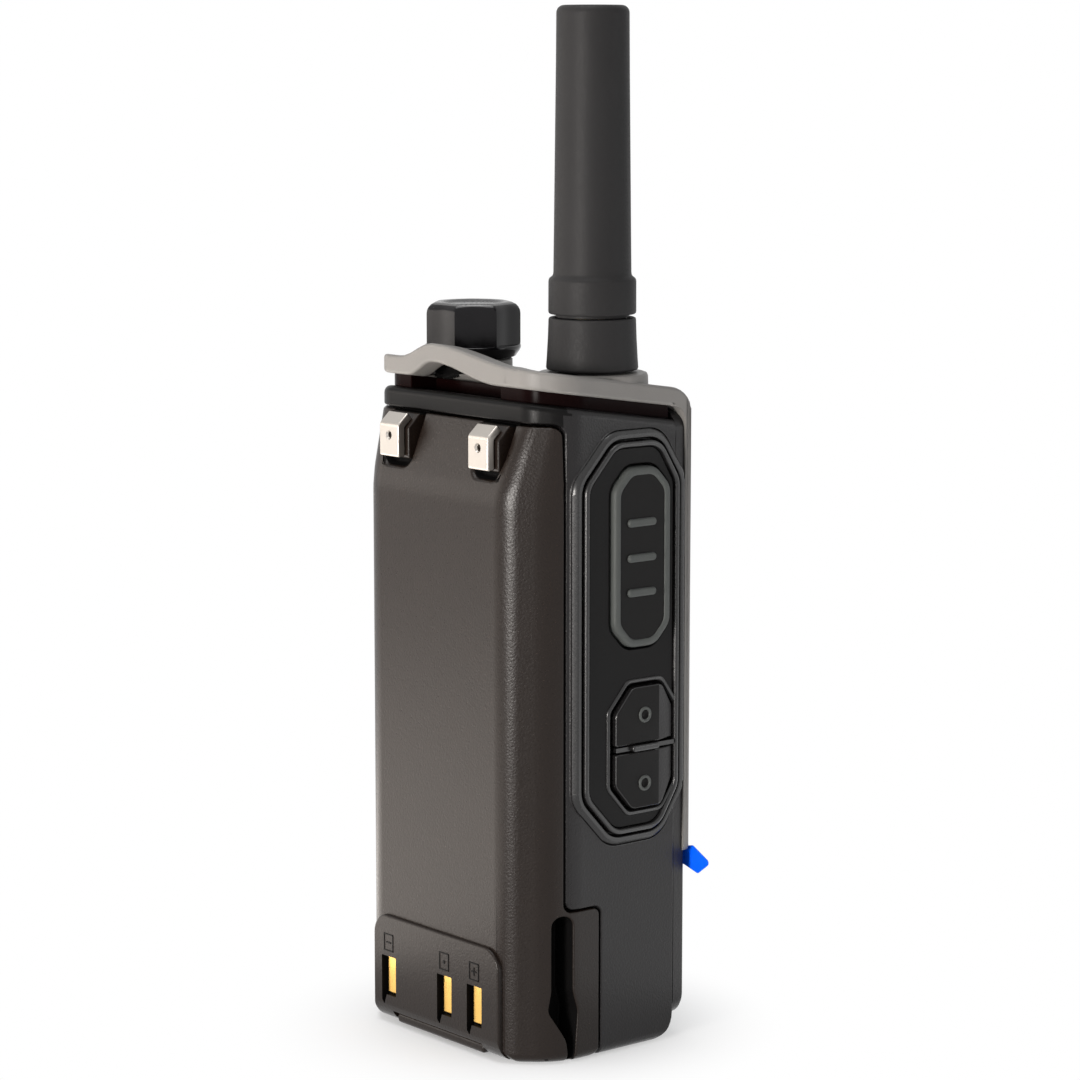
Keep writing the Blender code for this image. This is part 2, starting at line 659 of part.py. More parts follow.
def make_top_cover():
    rim_low = (FRONT_Y + RIM_DEPTH_BOTTOM, RIM_BOTTOM_Z)
    profile = rounded([(TOP_REAR_Y, COVER_LOW_Z, 0.4 * MM), (TOP_REAR_Y, COVER_TOP_Z, 0.4 * MM),
                       (FRONT_Y, slope_z(COVER_TOP_Z, FRONT_Y), TOP_FRONT_RADIUS),
                       (FRONT_Y, RIM_BOTTOM_Z, 0.6 * MM), rim_low,
                       (RIM_BACK_Y, slope_z(COVER_LOW_Z, RIM_BACK_Y), 2.5 * MM)])
    cover = prism("top_cover", "X", -HALF, HALF, profile)
    keep(cover, prism("cover_plan", "Z", -CUT_PAST, COVER_TOP_Z + CUT_PAST, top_plan()))
    outer = rounded([(-HALF, RIM_BOTTOM_Z, RIM_CORNER), (HALF, RIM_BOTTOM_Z, RIM_CORNER),
                     (HALF, COVER_TOP_Z + CUT_PAST), (-HALF, COVER_TOP_Z + CUT_PAST)])
    keep(cover, prism("cover_front_view", "Y", FRONT_Y - CUT_PAST, TOP_REAR_Y + CUT_PAST,
                      outer, front_window()))

    # The lanyard slot leaves the arch standing behind it.
    slot_front = TOP_REAR_Y - ARCH_DEPTH - ARCH_SLOT
    cut(cover, box("arch_clearance", (ARCH_UNDER_START_X, ARCH_UNDER_END_X),
                   (slot_front, TOP_REAR_Y + CUT_PAST),
                   (slope_z(COVER_LOW_Z, slot_front) - CUT_PAST, COVER_TOP_Z + CUT_PAST)))
    join(cover, make_arch())

    collar_low = slope_z(COVER_LOW_Z, ANTENNA_Y) + COVER_THICKNESS / 2
    collar = cylinder("antenna_collar", "Z", (ANTENNA_X, ANTENNA_Y), collar_low, COLLAR_TOP_Z, COLLAR_RADIUS)
    join(cover, bevel(collar, 0.5 * MM, 2))
    neck_low = slope_z(COVER_LOW_Z, KNOB_Y) + COVER_THICKNESS / 2
    join(cover, cylinder("knob_neck", "Z", (KNOB_X, KNOB_Y), neck_low, KNOB_LOW_Z - GAP, KNOB_NECK_RADIUS))
    hole_span = (slope_z(COVER_LOW_Z, FRONT_Y) - CUT_PAST, COVER_TOP_Z + CUT_PAST)
    cut(cover, cylinder("spigot_hole", "Z", (ANTENNA_X, ANTENNA_Y), *hole_span, SPIGOT_RADIUS + GAP))
    cut(cover, cylinder("nut_hole", "Z", (KNOB_X, KNOB_Y), *hole_span, NUT_RADIUS + GAP))
    return adopt(cover, "grey_trim")


def arch_height(x, start, peak, end):
    """A smooth hump from start to end, 1 at its peak."""
    if not start < x < end:
        return 0.0
    run = (x - start) / (peak - start) if x < peak else (end - x) / (end - peak)
    return 0.5 - 0.5 * math.cos(math.pi * run)


def make_arch():
    """The wavy bridge that a lanyard loops round, following the slope of the top."""
    steps = 18
    first, last = ARCH_START_X, ARCH_END_X + 2.0 * MM
    places = [first + (last - first) * step / steps for step in range(steps + 1)]
    peak = ARCH_PEAK_X
    top, bottom = COVER_TOP_Z - ARCH_SINK, COVER_LOW_Z + ARCH_SINK
    upper = [(x, top + ARCH_RISE * arch_height(x, ARCH_START_X, peak, ARCH_END_X)) for x in places]
    lower = [(x, bottom + ARCH_RISE * arch_height(x, ARCH_UNDER_START_X, peak, ARCH_UNDER_END_X))
             for x in places]
    rear = TOP_REAR_Y - ARCH_SINK
    arch = prism("lanyard_arch", "Y", rear - ARCH_DEPTH, rear, lower + upper[::-1])
    tilt = Matrix.Shear("YZ", 4, (0, 0))
    tilt[2][1] = TOP_SLOPE
    tilt[2][3] = -TOP_SLOPE * TOP_REAR_Y
    arch.data.transform(tilt @ arch.matrix_world)
    arch.matrix_world = Matrix.Identity(4)
    return arch


def front_window(grow=0.0):
    """Opening of the grey rim in (x, z)."""
    half = HALF - RIM_WIDTH + grow
    low = RIM_BOTTOM_Z + RIM_WIDTH - grow
    corner = RIM_CORNER - RIM_WIDTH
    return rectangle(-half, half, low, WINDOW_TOP_Z + grow, corner)


def make_light_bar():
    rear = TOP_REAR_Y - LIGHT_BAR_INSET
    front = PART_LINE_Y
    top = LIGHT_BAR_Z + LIGHT_BAR_HEIGHT
    profile = [(rear, slope_z(LIGHT_BAR_Z, rear)), (rear, slope_z(top, rear)),
               (front, slope_z(top, front)), (front, slope_z(LIGHT_BAR_Z, front))]
    bar = prism("light_bar", "X", -HALF, HALF, profile)
    plan = top_plan(LIGHT_BAR_INSET)
    keep(bar, prism("light_bar_plan", "Z", 0.0, COVER_TOP_Z, plan))
    slot_front = TOP_REAR_Y - ARCH_DEPTH - ARCH_SLOT
    cut(bar, box("strap_clearance", (ARCH_UNDER_START_X, ARCH_UNDER_END_X),
                 (slot_front, TOP_REAR_Y + CUT_PAST), (SEAM_TOP_Z - CUT_PAST, COVER_TOP_Z)))
    span = (slope_z(LIGHT_BAR_Z, FRONT_Y) - CUT_PAST, COVER_TOP_Z)
    cut(bar, cylinder("bar_spigot_hole", "Z", (ANTENNA_X, ANTENNA_Y), *span, SPIGOT_RADIUS + GAP))
    cut(bar, cylinder("bar_nut_hole", "Z", (KNOB_X, KNOB_Y), *span, NUT_RADIUS + GAP))
    return adopt(bar, "smoked_strip")


FLANGE_HALF = HALF - FLANGE_INSET
FLANGE_LOW_Z = RIM_BOTTOM_Z - 2.0 * MM
FLANGE_HIGH_Z = slope_z(COVER_LOW_Z, FLANGE_FRONT_Y) - 2.0 * MM
KEY_PLACES = {"left": -KEY_PITCH, "middle": 0.0, "right": KEY_PITCH}


def flange_outline(inset=0.0):
    return rectangle(-FLANGE_HALF + inset, FLANGE_HALF - inset, FLANGE_LOW_Z + inset, FLANGE_HIGH_Z - inset,
                     RIM_CORNER - inset)


def key_outline(place, grow=0.0):
    half_width, half_height = KEY_WIDTH / 2 + grow, KEY_HEIGHT / 2 + grow
    return rectangle(place - half_width, place + half_width, KEY_Z - half_height, KEY_Z + half_height,
                     2.0 * MM)


def screen_outline(grow=0.0):
    half_width, half_height = SCREEN_WIDTH / 2 + grow, SCREEN_HEIGHT / 2 + grow
    return rectangle(-half_width, half_width, SCREEN_Z - half_height, SCREEN_Z + half_height, 1.5 * MM)


def make_front_cover():
    cover = prism("front_cover", "Y", FLANGE_FRONT_Y, FLANGE_BACK_Y, flange_outline())
    join(cover, prism("front_plateau", "Y", FRONT_Y, FLANGE_BACK_Y - FLANGE_THICKNESS / 2,
                      front_window(-GAP)))
    inside = front_window(-GAP - FRONT_WALL)
    cut(cover, prism("front_cavity", "Y", FRONT_INNER_Y, FLANGE_BACK_Y + CUT_PAST, inside))
    through = (FRONT_Y - CUT_PAST, FRONT_INNER_Y + CUT_PAST)
    for slot in range(GRILLE_SLOTS):
        height = (slot - (GRILLE_SLOTS - 1) / 2) * GRILLE_PITCH
        half = math.sqrt(GRILLE_RADIUS ** 2 - height ** 2)
        z = SPEAKER_Z + height
        cut(cover, prism("grille_slot", "Y", *through,
                         rounded([(-half, z - GRILLE_SLOT_HEIGHT / 2), (half, z - GRILLE_SLOT_HEIGHT / 2),
                                  (half, z + GRILLE_SLOT_HEIGHT / 2), (-half, z + GRILLE_SLOT_HEIGHT / 2)])))
    cut(cover, prism("screen_opening", "Y", *through, screen_outline(-SCREEN_LEDGE)))
    cut(cover, prism("screen_seat", "Y", FRONT_Y - CUT_PAST, FRONT_Y + LENS_THICKNESS + GAP,
                     screen_outline(GAP)))
    for place in KEY_PLACES.values():
        cut(cover, prism("front_key_hole", "Y", *through, key_outline(place, RUNNING_GAP)))
    cut(cover, cylinder("mic_hole", "Y", (MIC_X, MIC_Z), *through, MIC_HOLE_RADIUS, 12))
    return adopt(cover, "black_case")


def make_front_pieces():
    seal_ring = (flange_outline(GAP), flange_outline(GAP + SEAL_WIDTH))
    adopt(prism("main_seal", "Y", SEAL_FRONT_Y, PART_LINE_Y - GAP, *seal_ring), "black_rubber")
    lens = prism("display_window", "Y", FRONT_Y, FRONT_Y + LENS_THICKNESS, screen_outline())
    adopt(lens, "window_glass")
    module_half = SCREEN_WIDTH / 2 - SCREEN_LEDGE / 2
    module_height = SCREEN_HEIGHT / 2
    module = box("display_module", (-module_half, module_half),
                 (FRONT_INNER_Y + GAP, FRONT_INNER_Y + GAP + SCREEN_MODULE_DEPTH),
                 (SCREEN_Z - module_height, SCREEN_Z + module_height))
    adopt(module, "gloss_black")

    # The film's pull tab leaves its lower corner and hangs past the edge of the rim.
    film_y = FRONT_Y - GAP
    film = prism("screen_film", "Y", film_y - FILM_THICKNESS, film_y, screen_outline(FILM_MARGIN))
    tab_low = SCREEN_Z - SCREEN_HEIGHT / 2 - FILM_MARGIN - TAB_WIDTH / 2
    root = -SCREEN_WIDTH / 2 + TAB_WIDTH
    tip = -HALF - TAB_REACH
    tab = [(root, tab_low), (tip + TAB_SKEW, tab_low), (tip, tab_low + TAB_WIDTH * 0.7),
           (tip + TAB_REACH, tab_low + TAB_WIDTH), (root, tab_low + TAB_WIDTH)]
    join(film, prism("film_tab", "Y", film_y - FILM_THICKNESS, film_y, tab))
    adopt(film, "blue_film")

    for name, place in KEY_PLACES.items():
        key = prism("front_key_" + name, "Y", FRONT_Y - KEY_PROUD, FRONT_INNER_Y + GAP + WALL / 2,
                    key_outline(place))
        bevel(key, 0.4 * MM, 2)
        join(key, prism("front_key_flange", "Y", FRONT_INNER_Y + GAP, FRONT_INNER_Y + GAP + WALL / 2,
                        key_outline(place, BUTTON_FLANGE)))
        adopt(set_origin(key, (place, FRONT_Y, KEY_Z)), "black_rubber")

    mic = cylinder("microphone", "Y", (MIC_X, MIC_Z), FRONT_INNER_Y + GAP, FRONT_INNER_Y + GAP + WALL,
                   MIC_RADIUS, 20)
    adopt(mic, "steel")


def make_speaker():
    """Loudspeaker basket with its magnet, and the cone inside it, facing the slots."""
    place = (0.0, FRONT_INNER_Y + GAP + SPEAKER_DEPTH, SPEAKER_Z)
    radius, depth = SPEAKER_RADIUS, SPEAKER_DEPTH
    magnet = radius * 0.5
    lip, floor = depth * 0.45, depth * 0.3
    frame = turned("speaker_frame", place, [
        (0.0, floor + WALL / 2), (magnet, floor + WALL / 2), (radius - WALL, lip + WALL / 2),
        (radius - WALL, depth), (radius, depth), (radius, lip), (magnet, floor), (magnet, 0.0),
        (0.0, 0.0)], 24)
    frame.rotation_euler.x = math.radians(90)
    adopt(frame, "cast_alloy")
    rim = radius - WALL - GAP
    cone_low = floor + WALL / 2 + GAP
    cone = turned("speaker_cone", place, [
        (0.0, cone_low + WALL), (magnet * 0.6, cone_low + WALL), (rim, depth - GAP), (rim, depth - WALL),
        (magnet * 0.9, cone_low), (0.0, cone_low)], 24)
    cone.rotation_euler.x = math.radians(90)
    adopt(cone, "speaker_paper")


# Side controls

SWITCH_PLACES = {
    "ptt": ((PTT_LOW_Z + PTT_HIGH_Z) / 2, PTT_TRAVEL),
    "upper": ((SIDE_KEY_HIGH_Z + SIDE_KEY_MIDDLE_Z) / 2, SIDE_KEY_TRAVEL),
    "lower": ((SIDE_KEY_LOW_Z + SIDE_KEY_MIDDLE_Z) / 2, SIDE_KEY_TRAVEL),
}
BUTTON_BACK_X = -INNER + GAP + BUTTON_FLANGE
SWITCH_TOP_X = BUTTON_BACK_X + PTT_TRAVEL + GAP
SIDE_BOARD_X = SWITCH_TOP_X + SWITCH_HEIGHT + GAP
WING_X = SIDE_BOARD_X + BOARD_THICKNESS + GAP
CONTROL_Y = (PTT_REAR_Y + PTT_FRONT_Y) / 2


def make_side_controls():
    bezel = prism("side_bezel", "X", BEZEL_X, BEZEL_BACK_X, panel_outline())
    bevel(bezel, 0.6 * MM, 2)
    through = (BEZEL_X - CUT_PAST, BEZEL_BACK_X + CUT_PAST)
    cut(bezel, prism("bezel_ptt_hole", "X", *through, ptt_outline(RUNNING_GAP)))
    for upper in (True, False):
        cut(bezel, prism("bezel_key_hole", "X", *through, side_key_outline(upper, RUNNING_GAP, KEY_WEB / 2)))
    bar_y = (SIDE_KEY_REAR_Y + SIDE_KEY_FRONT_Y) / 2
    finger_bar = box("finger_bar", (-HALF - SIDE_KEY_PROUD - BAR_PROUD, BEZEL_BACK_X - PANEL_THICKNESS / 2),
                     (bar_y - BAR_LENGTH / 2, bar_y + BAR_LENGTH / 2),
                     (SIDE_KEY_MIDDLE_Z - KEY_WEB * 0.45, SIDE_KEY_MIDDLE_Z + KEY_WEB * 0.45))
    join(bezel, finger_bar)
    adopt(bezel, "black_case")

    ptt_face = -HALF - PTT_PROUD
    ptt = prism("ptt_button", "X", ptt_face, BUTTON_BACK_X - BUTTON_FLANGE / 2, ptt_outline())
    bevel(ptt, 0.8 * MM, 2)
    cut(ptt, prism("ptt_dish", "X", ptt_face - CUT_PAST, ptt_face + BAR_PROUD, ptt_outline(-PTT_BORDER)))
    for bar in range(BAR_COUNT):
        z = SWITCH_PLACES["ptt"][0] + (bar - (BAR_COUNT - 1) / 2) * BAR_PITCH
        ridge = box("ptt_bar", (ptt_face - BAR_PROUD / 2, ptt_face + BAR_PROUD * 2),
                    (CONTROL_Y - BAR_LENGTH / 2, CONTROL_Y + BAR_LENGTH / 2),
                    (z - BAR_HEIGHT / 2, z + BAR_HEIGHT / 2))
        join(ptt, bevel(ridge, 0.3 * MM, 1))
    join(ptt, prism("ptt_flange", "X", -INNER + GAP, BUTTON_BACK_X, ptt_outline(BUTTON_FLANGE)))
    adopt(set_origin(ptt, (ptt_face, CONTROL_Y, SWITCH_PLACES["ptt"][0])), "black_rubber")

    for name, upper in (("upper", True), ("lower", False)):
        face = -HALF - SIDE_KEY_PROUD
        key = prism(name + "_side_key", "X", face, BUTTON_BACK_X - BUTTON_FLANGE / 2,
                    side_key_outline(upper))
        bevel(key, 0.5 * MM, 2)
        z = SWITCH_PLACES[name][0]
        cut(key, cylinder("key_dimple", "X", (CONTROL_Y, z), face - CUT_PAST, face + BAR_PROUD,
                          KEY_RING_RADIUS, 16))
        join(key, prism("key_flange", "X", -INNER + GAP, BUTTON_BACK_X,
                        side_key_outline(upper, BUTTON_FLANGE)))
        adopt(set_origin(key, (face, CONTROL_Y, z)), "black_rubber")

    board_low = SIDE_KEY_LOW_Z
    board = box("side_board", (SIDE_BOARD_X, SIDE_BOARD_X + BOARD_THICKNESS),
                (CONTROL_Y - SWITCH_SIZE, CONTROL_Y + SWITCH_SIZE), (board_low, PTT_HIGH_Z - SWITCH_SIZE))
    adopt(board, "circuit_board")
    for name, (z, _) in SWITCH_PLACES.items():
        switch = box(name + "_switch", (SWITCH_TOP_X + GAP, SIDE_BOARD_X - GAP),
                     (CONTROL_Y - SWITCH_SIZE / 2, CONTROL_Y + SWITCH_SIZE / 2),
                     (z - SWITCH_SIZE / 2, z + SWITCH_SIZE / 2))
        plunger = cylinder("switch_plunger", "X", (CONTROL_Y, z), SWITCH_TOP_X, SIDE_BOARD_X - GAP * 2,
                           SWITCH_SIZE * 0.3, 12)
        join(switch, plunger)
        adopt(switch, "steel")


# Volume control


def make_volume_control():
    knob_top = KNOB_LOW_Z + KNOB_HEIGHT
    dish = KNOB_RADIUS * 0.6
    chamfer = 1.1 * MM
    knob = turned("volume_knob", (KNOB_X, KNOB_Y, 0.0), [
        (0.0, knob_top - 0.4 * MM), (dish, knob_top - 0.4 * MM), (dish + 0.5 * MM, knob_top),
        (KNOB_RADIUS - chamfer, knob_top), (KNOB_RADIUS, knob_top - chamfer),
        (KNOB_RADIUS, KNOB_LOW_Z + KNOB_SKIRT),
        (KNOB_RADIUS - 1.2 * MM, KNOB_LOW_Z), (0.0, KNOB_LOW_Z)], 56)
    for flute in range(KNOB_FLUTES):
        angle = math.radians(-39.3) + 2 * math.pi * (flute + 0.5) / KNOB_FLUTES
        reach = KNOB_RADIUS + FLUTE_RADIUS - FLUTE_DEPTH
        centre = (KNOB_X + reach * math.sin(angle), KNOB_Y + reach * math.cos(angle))
        cut(knob, cylinder("knob_flute", "Z", centre, KNOB_LOW_Z + KNOB_SKIRT, knob_top + CUT_PAST,
                           FLUTE_RADIUS, 28))
    bore_top = knob_top - 4.5 * MM
    cut(knob, cylinder("knob_bore", "Z", (KNOB_X, KNOB_Y), KNOB_LOW_Z - CUT_PAST, bore_top,
                       SHAFT_RADIUS + GAP, 24))
    adopt(knob, "gloss_black")

    roof_low = slope_z(HOUSING_TOP_Z - ROOF_THICKNESS, KNOB_Y - POT_RADIUS)
    pot_top = roof_low - GAP
    bore_low = pot_top - POT_HEIGHT / 2
    bushing_top = slope_z(HOUSING_TOP_Z, KNOB_Y + NUT_RADIUS) + GAP + NUT_HEIGHT + GAP
    bore = SHAFT_RADIUS + GAP
    pot = turned("volume_pot", (KNOB_X, KNOB_Y, 0.0), [
        (0.0, bore_low), (bore, bore_low), (bore, bushing_top), (BUSHING_RADIUS, bushing_top),
        (BUSHING_RADIUS, pot_top), (POT_RADIUS, pot_top), (POT_RADIUS, pot_top - POT_HEIGHT),
        (0.0, pot_top - POT_HEIGHT)], 24)
    adopt(pot, "steel")
    shaft = turned("pot_shaft", (KNOB_X, KNOB_Y, 0.0), [
        (0.0, bore_top - GAP), (SHAFT_RADIUS, bore_top - GAP), (SHAFT_RADIUS, bore_low + GAP),
        (0.0, bore_low + GAP)], 24)
    adopt(shaft, "steel")
    nut_low = slope_z(HOUSING_TOP_Z, KNOB_Y + NUT_RADIUS) + GAP
    nut = cylinder("pot_nut", "Z", (KNOB_X, KNOB_Y), nut_low, nut_low + NUT_HEIGHT, NUT_RADIUS, 6)
    cut(nut, cylinder("nut_thread", "Z", (KNOB_X, KNOB_Y), nut_low - CUT_PAST,
                      nut_low + NUT_HEIGHT + CUT_PAST, BUSHING_RADIUS + GAP, 24))
    adopt(nut, "brass")


# Antenna


def make_antenna():
    place = (ANTENNA_X, ANTENNA_Y, 0.0)
    boss_top = BOSS_LOW_Z + BOSS_HEIGHT
    antenna_low = boss_top + ANTENNA_GAP
    spigot_low = slope_z(HOUSING_TOP_Z, ANTENNA_Y + SPIGOT_RADIUS) + GAP
    bore = SOCKET_RADIUS + GAP
    wire = SEAL_WIRE_RADIUS
    seal_middle = FERRULE_RADIUS + GAP + wire
    seal_z = antenna_low - GAP - wire
    seat_radius = seal_middle + wire + GAP
    seat_z = seal_z - wire - GAP
    boss = turned("antenna_boss", place, [
        (seat_radius, boss_top), (BOSS_TOP_RADIUS - 0.3 * MM, boss_top),
        (BOSS_TOP_RADIUS, boss_top - 0.4 * MM),
        (BOSS_LOW_RADIUS, BOSS_LOW_Z), (SPIGOT_RADIUS, BOSS_LOW_Z), (SPIGOT_RADIUS, spigot_low),
        (bore, spigot_low), (bore, seat_z), (seat_radius, seat_z)], closed=True)
    adopt(boss, "antenna_black")

    ferrule_low = seat_z + GAP
    socket_top = ferrule_low - GAP
    flange_top = slope_z(HOUSING_TOP_Z - ROOF_THICKNESS, ANTENNA_Y - SOCKET_FLANGE_RADIUS) - GAP
    flange_low = flange_top - WALL
    stud_bore = STUD_RADIUS + GAP
    socket = turned("antenna_socket", place, [
        (0.0, flange_top + WALL), (stud_bore, flange_top + WALL), (stud_bore, socket_top),
        (SOCKET_RADIUS, socket_top), (SOCKET_RADIUS, flange_top), (SOCKET_FLANGE_RADIUS, flange_top),
        (SOCKET_FLANGE_RADIUS, flange_low), (0.0, flange_low)], 24)
    adopt(socket, "brass")

    stud_low = flange_top + WALL + GAP
    stud_top = antenna_low + RING_HEIGHT + WALL
    ferrule_top = antenna_low - GAP
    stud = turned("antenna_stud", place, [
        (0.0, stud_top), (STUD_RADIUS, stud_top), (STUD_RADIUS, ferrule_top), (FERRULE_RADIUS, ferrule_top),
        (FERRULE_RADIUS, ferrule_low), (STUD_RADIUS, ferrule_low), (STUD_RADIUS, stud_low),
        (0.0, stud_low)], 24)
    adopt(stud, "brass")

    seal = turned("antenna_seal", place, [
        (seal_middle + wire * math.cos(angle), seal_z + wire * math.sin(angle))
        for angle in (math.pi / 2 - 2 * math.pi * step / 8 for step in range(8))], closed=True)
    adopt(seal, "black_rubber")

    ring_top = antenna_low + RING_HEIGHT
    tip = [(ROD_TOP_RADIUS - ROD_TIP_ROUND * (1 - math.sin(angle)),
            ANTENNA_TOP_Z - ROD_TIP_ROUND * (1 - math.cos(angle)))
           for angle in (math.pi / 2 * step / ARC_STEPS for step in range(ARC_STEPS + 1))]
    sleeve = turned("antenna_sleeve", place, [
        (0.0, ANTENNA_TOP_Z), *tip, (ROD_LOW_RADIUS, ring_top + 1.2 * MM),
        (RING_RADIUS - 0.2 * MM, ring_top + 0.3 * MM), (RING_RADIUS, ring_top),
        (RING_RADIUS, antenna_low + 0.4 * MM), (RING_RADIUS - 0.4 * MM, antenna_low),
        (stud_bore, antenna_low), (stud_bore, stud_top + GAP), (0.0, stud_top + GAP)])
    adopt(sleeve, "antenna_black")


# Inside the body

CHASSIS_BACK_Y = HOUSING_SEAM_Y - WALL - GAP
CHASSIS_FRONT_Y = CHASSIS_BACK_Y - CHASSIS_THICKNESS
CHASSIS_HALF = INNER - WALL
MAIN_BOARD_LEFT = WING_X + WALL + GAP


def screw_places():
    return [(side * (CHASSIS_HALF - SCREW_INSET_X), z)
            for z in (CHASSIS_LOW_Z + SCREW_INSET_Z, CHASSIS_HIGH_Z - SCREW_INSET_Z) for side in (1, -1)]


def screw_seat_y():
    return HOUSING_SEAM_Y - GAP - SCREW_HEAD_HEIGHT


def make_inside():
    chassis = box("chassis", (WING_X, CHASSIS_HALF), (CHASSIS_FRONT_Y, CHASSIS_BACK_Y),
                  (CHASSIS_LOW_Z, CHASSIS_HIGH_Z))
    wing = box("chassis_wing", (WING_X, WING_X + WALL),
               (MAIN_BOARD_Y, CHASSIS_FRONT_Y + CHASSIS_THICKNESS / 2),
               (CHASSIS_LOW_Z + GAP, CHASSIS_HIGH_Z - GAP))
    join(chassis, wing)
    board_back = MAIN_BOARD_Y + BOARD_THICKNESS
    post_x = (MAIN_BOARD_LEFT + CHASSIS_POST_INSET, CHASSIS_HALF - CHASSIS_POST_INSET)
    post_z = (CHASSIS_LOW_Z + CHASSIS_POST_INSET, MAIN_BOARD_HIGH_Z - CHASSIS_POST_INSET)
    for x in post_x:
        for z in post_z:
            join(chassis, cylinder("chassis_post", "Y", (x, z), board_back + GAP,
                                   CHASSIS_FRONT_Y + CHASSIS_THICKNESS / 2, CHASSIS_POST_RADIUS, 12))
    for x, z in screw_places():
        cut(chassis, cylinder("chassis_thread", "Y", (x, z), CHASSIS_FRONT_Y - CUT_PAST,
                              CHASSIS_BACK_Y + CUT_PAST, SCREW_RADIUS + GAP, 12))
    adopt(chassis, "cast_alloy")

    board = box("main_board", (MAIN_BOARD_LEFT, CHASSIS_HALF), (MAIN_BOARD_Y, board_back),
                (MAIN_BOARD_LOW_Z, MAIN_BOARD_HIGH_Z))
    adopt(board, "circuit_board")
    shield = box("rf_shield", (post_x[0], post_x[1] - JACK_BLOCK_DEPTH),
                 (board_back + GAP, board_back + GAP + SHIELD_HEIGHT),
                 (post_z[0] + CHASSIS_POST_INSET, post_z[1] - CHASSIS_POST_INSET))
    adopt(bevel(shield, 0.4 * MM, 1), "steel")

    block = box("contact_block", (-CONTACT_BLOCK_WIDTH / 2, CONTACT_BLOCK_WIDTH / 2),
                (HOUSING_SEAM_Y - WALL * 2, HOUSING_SEAM_Y - GAP),
                (CONTACT_BLOCK_Z - CONTACT_BLOCK_HEIGHT / 2, CONTACT_BLOCK_Z + CONTACT_BLOCK_HEIGHT / 2))
    adopt(block, "black_rubber")

    for number, (x, z) in enumerate(screw_places(), 1):
        seat = screw_seat_y()
        screw = cylinder("housing_screw_%d" % number, "Y", (x, z), seat, seat + SCREW_HEAD_HEIGHT,
                         SCREW_HEAD_RADIUS, 16)
        join(screw, cylinder("screw_shank", "Y", (x, z), seat - SCREW_LENGTH, seat + SCREW_HEAD_HEIGHT / 2,
                             SCREW_RADIUS, 10))
        adopt(screw, "steel")


def make_accessory_socket():
    jack_face = INNER - GAP
    half_y, half_z = JACK_COVER_WIDTH / 2 - WALL, JACK_COVER_HEIGHT / 2 - WALL
    jack = box("accessory_jack", (jack_face - JACK_BLOCK_DEPTH, jack_face),
               (JACK_Y - half_y, JACK_Y + half_y), (JACK_Z - half_z, JACK_Z + half_z))
    for side, radius in zip((1, -1), JACK_HOLE_RADII):
        cut(jack, cylinder("jack_bore", "X", (JACK_Y, JACK_Z + side * JACK_HOLE_PITCH / 2),
                           jack_face - JACK_BLOCK_DEPTH + WALL, jack_face + CUT_PAST, radius, 16))
    adopt(jack, "black_rubber")

    cover_back = HALF - JACK_COVER_SUNK
    cover_face = cover_back + JACK_COVER_THICKNESS
    outline = rectangle(JACK_Y - JACK_COVER_WIDTH / 2, JACK_Y + JACK_COVER_WIDTH / 2,
                        JACK_Z - JACK_COVER_HEIGHT / 2, JACK_Z + JACK_COVER_HEIGHT / 2, 2.2 * MM)
    cover = prism("jack_cover", "X", cover_back, cover_face, outline)
    bevel(cover, 0.5 * MM, 2)
    adopt(set_origin(cover, (cover_face, JACK_Y - JACK_COVER_WIDTH / 2, JACK_Z)), "black_rubber")


# Battery

RAMP_DROP = BACK_Y - TOP_REAR_Y
RAMP_RUN = SEAM_TOP_Z - RAMP_LOW_Z


def ramp_y(z):
    """Back surface of the battery, which leans forward above the ramp's foot."""
    return BACK_Y - RAMP_DROP * max(0.0, z - RAMP_LOW_Z) / RAMP_RUN


def battery_section(flat_half, rear_y, chamfer, inset=0.0):
    half, front = HALF - inset, BATTERY_LOW_Y + inset
    flat, rear = flat_half - inset * 0.4, rear_y - inset
    share = chamfer / BACK_CHAMFER
    side_round, edge_round = CHAMFER_ROUND * share, FLAT_EDGE_ROUND * share
    return rounded([(-half, front), (half, front), (half, rear - chamfer, side_round),
                    (flat, rear, edge_round), (-flat, rear, edge_round),
                    (-half, rear - chamfer, side_round)])


def loft(name, sections):
    """A solid through outlines of (x, y) points at rising heights."""
    shape = bmesh.new()
    loops = []
    for height, outline in sections:
        ring = [shape.verts.new((x, y, height)) for x, y in outline]
        loops.append([shape.edges.new((a, b)) for a, b in zip(ring, ring[1:] + ring[:1])])
    for lower, upper in zip(loops, loops[1:]):
        bmesh.ops.bridge_loops(shape, edges=lower + upper)
    for ends in (loops[0], loops[-1]):
        bmesh.ops.edgeloop_fill(shape, edges=ends)
    bmesh.ops.recalc_face_normals(shape, faces=shape.faces)
    return from_bmesh(name, shape)


def quarter_arc(y, z, radius):
    """Points of a quarter circle that climbs from y and turns over below z."""
    return [(y + radius * (1 - math.cos(angle)), z - radius * (1 - math.sin(angle)))
            for angle in (math.pi / 2 * step / ARC_STEPS for step in range(ARC_STEPS + 1))]


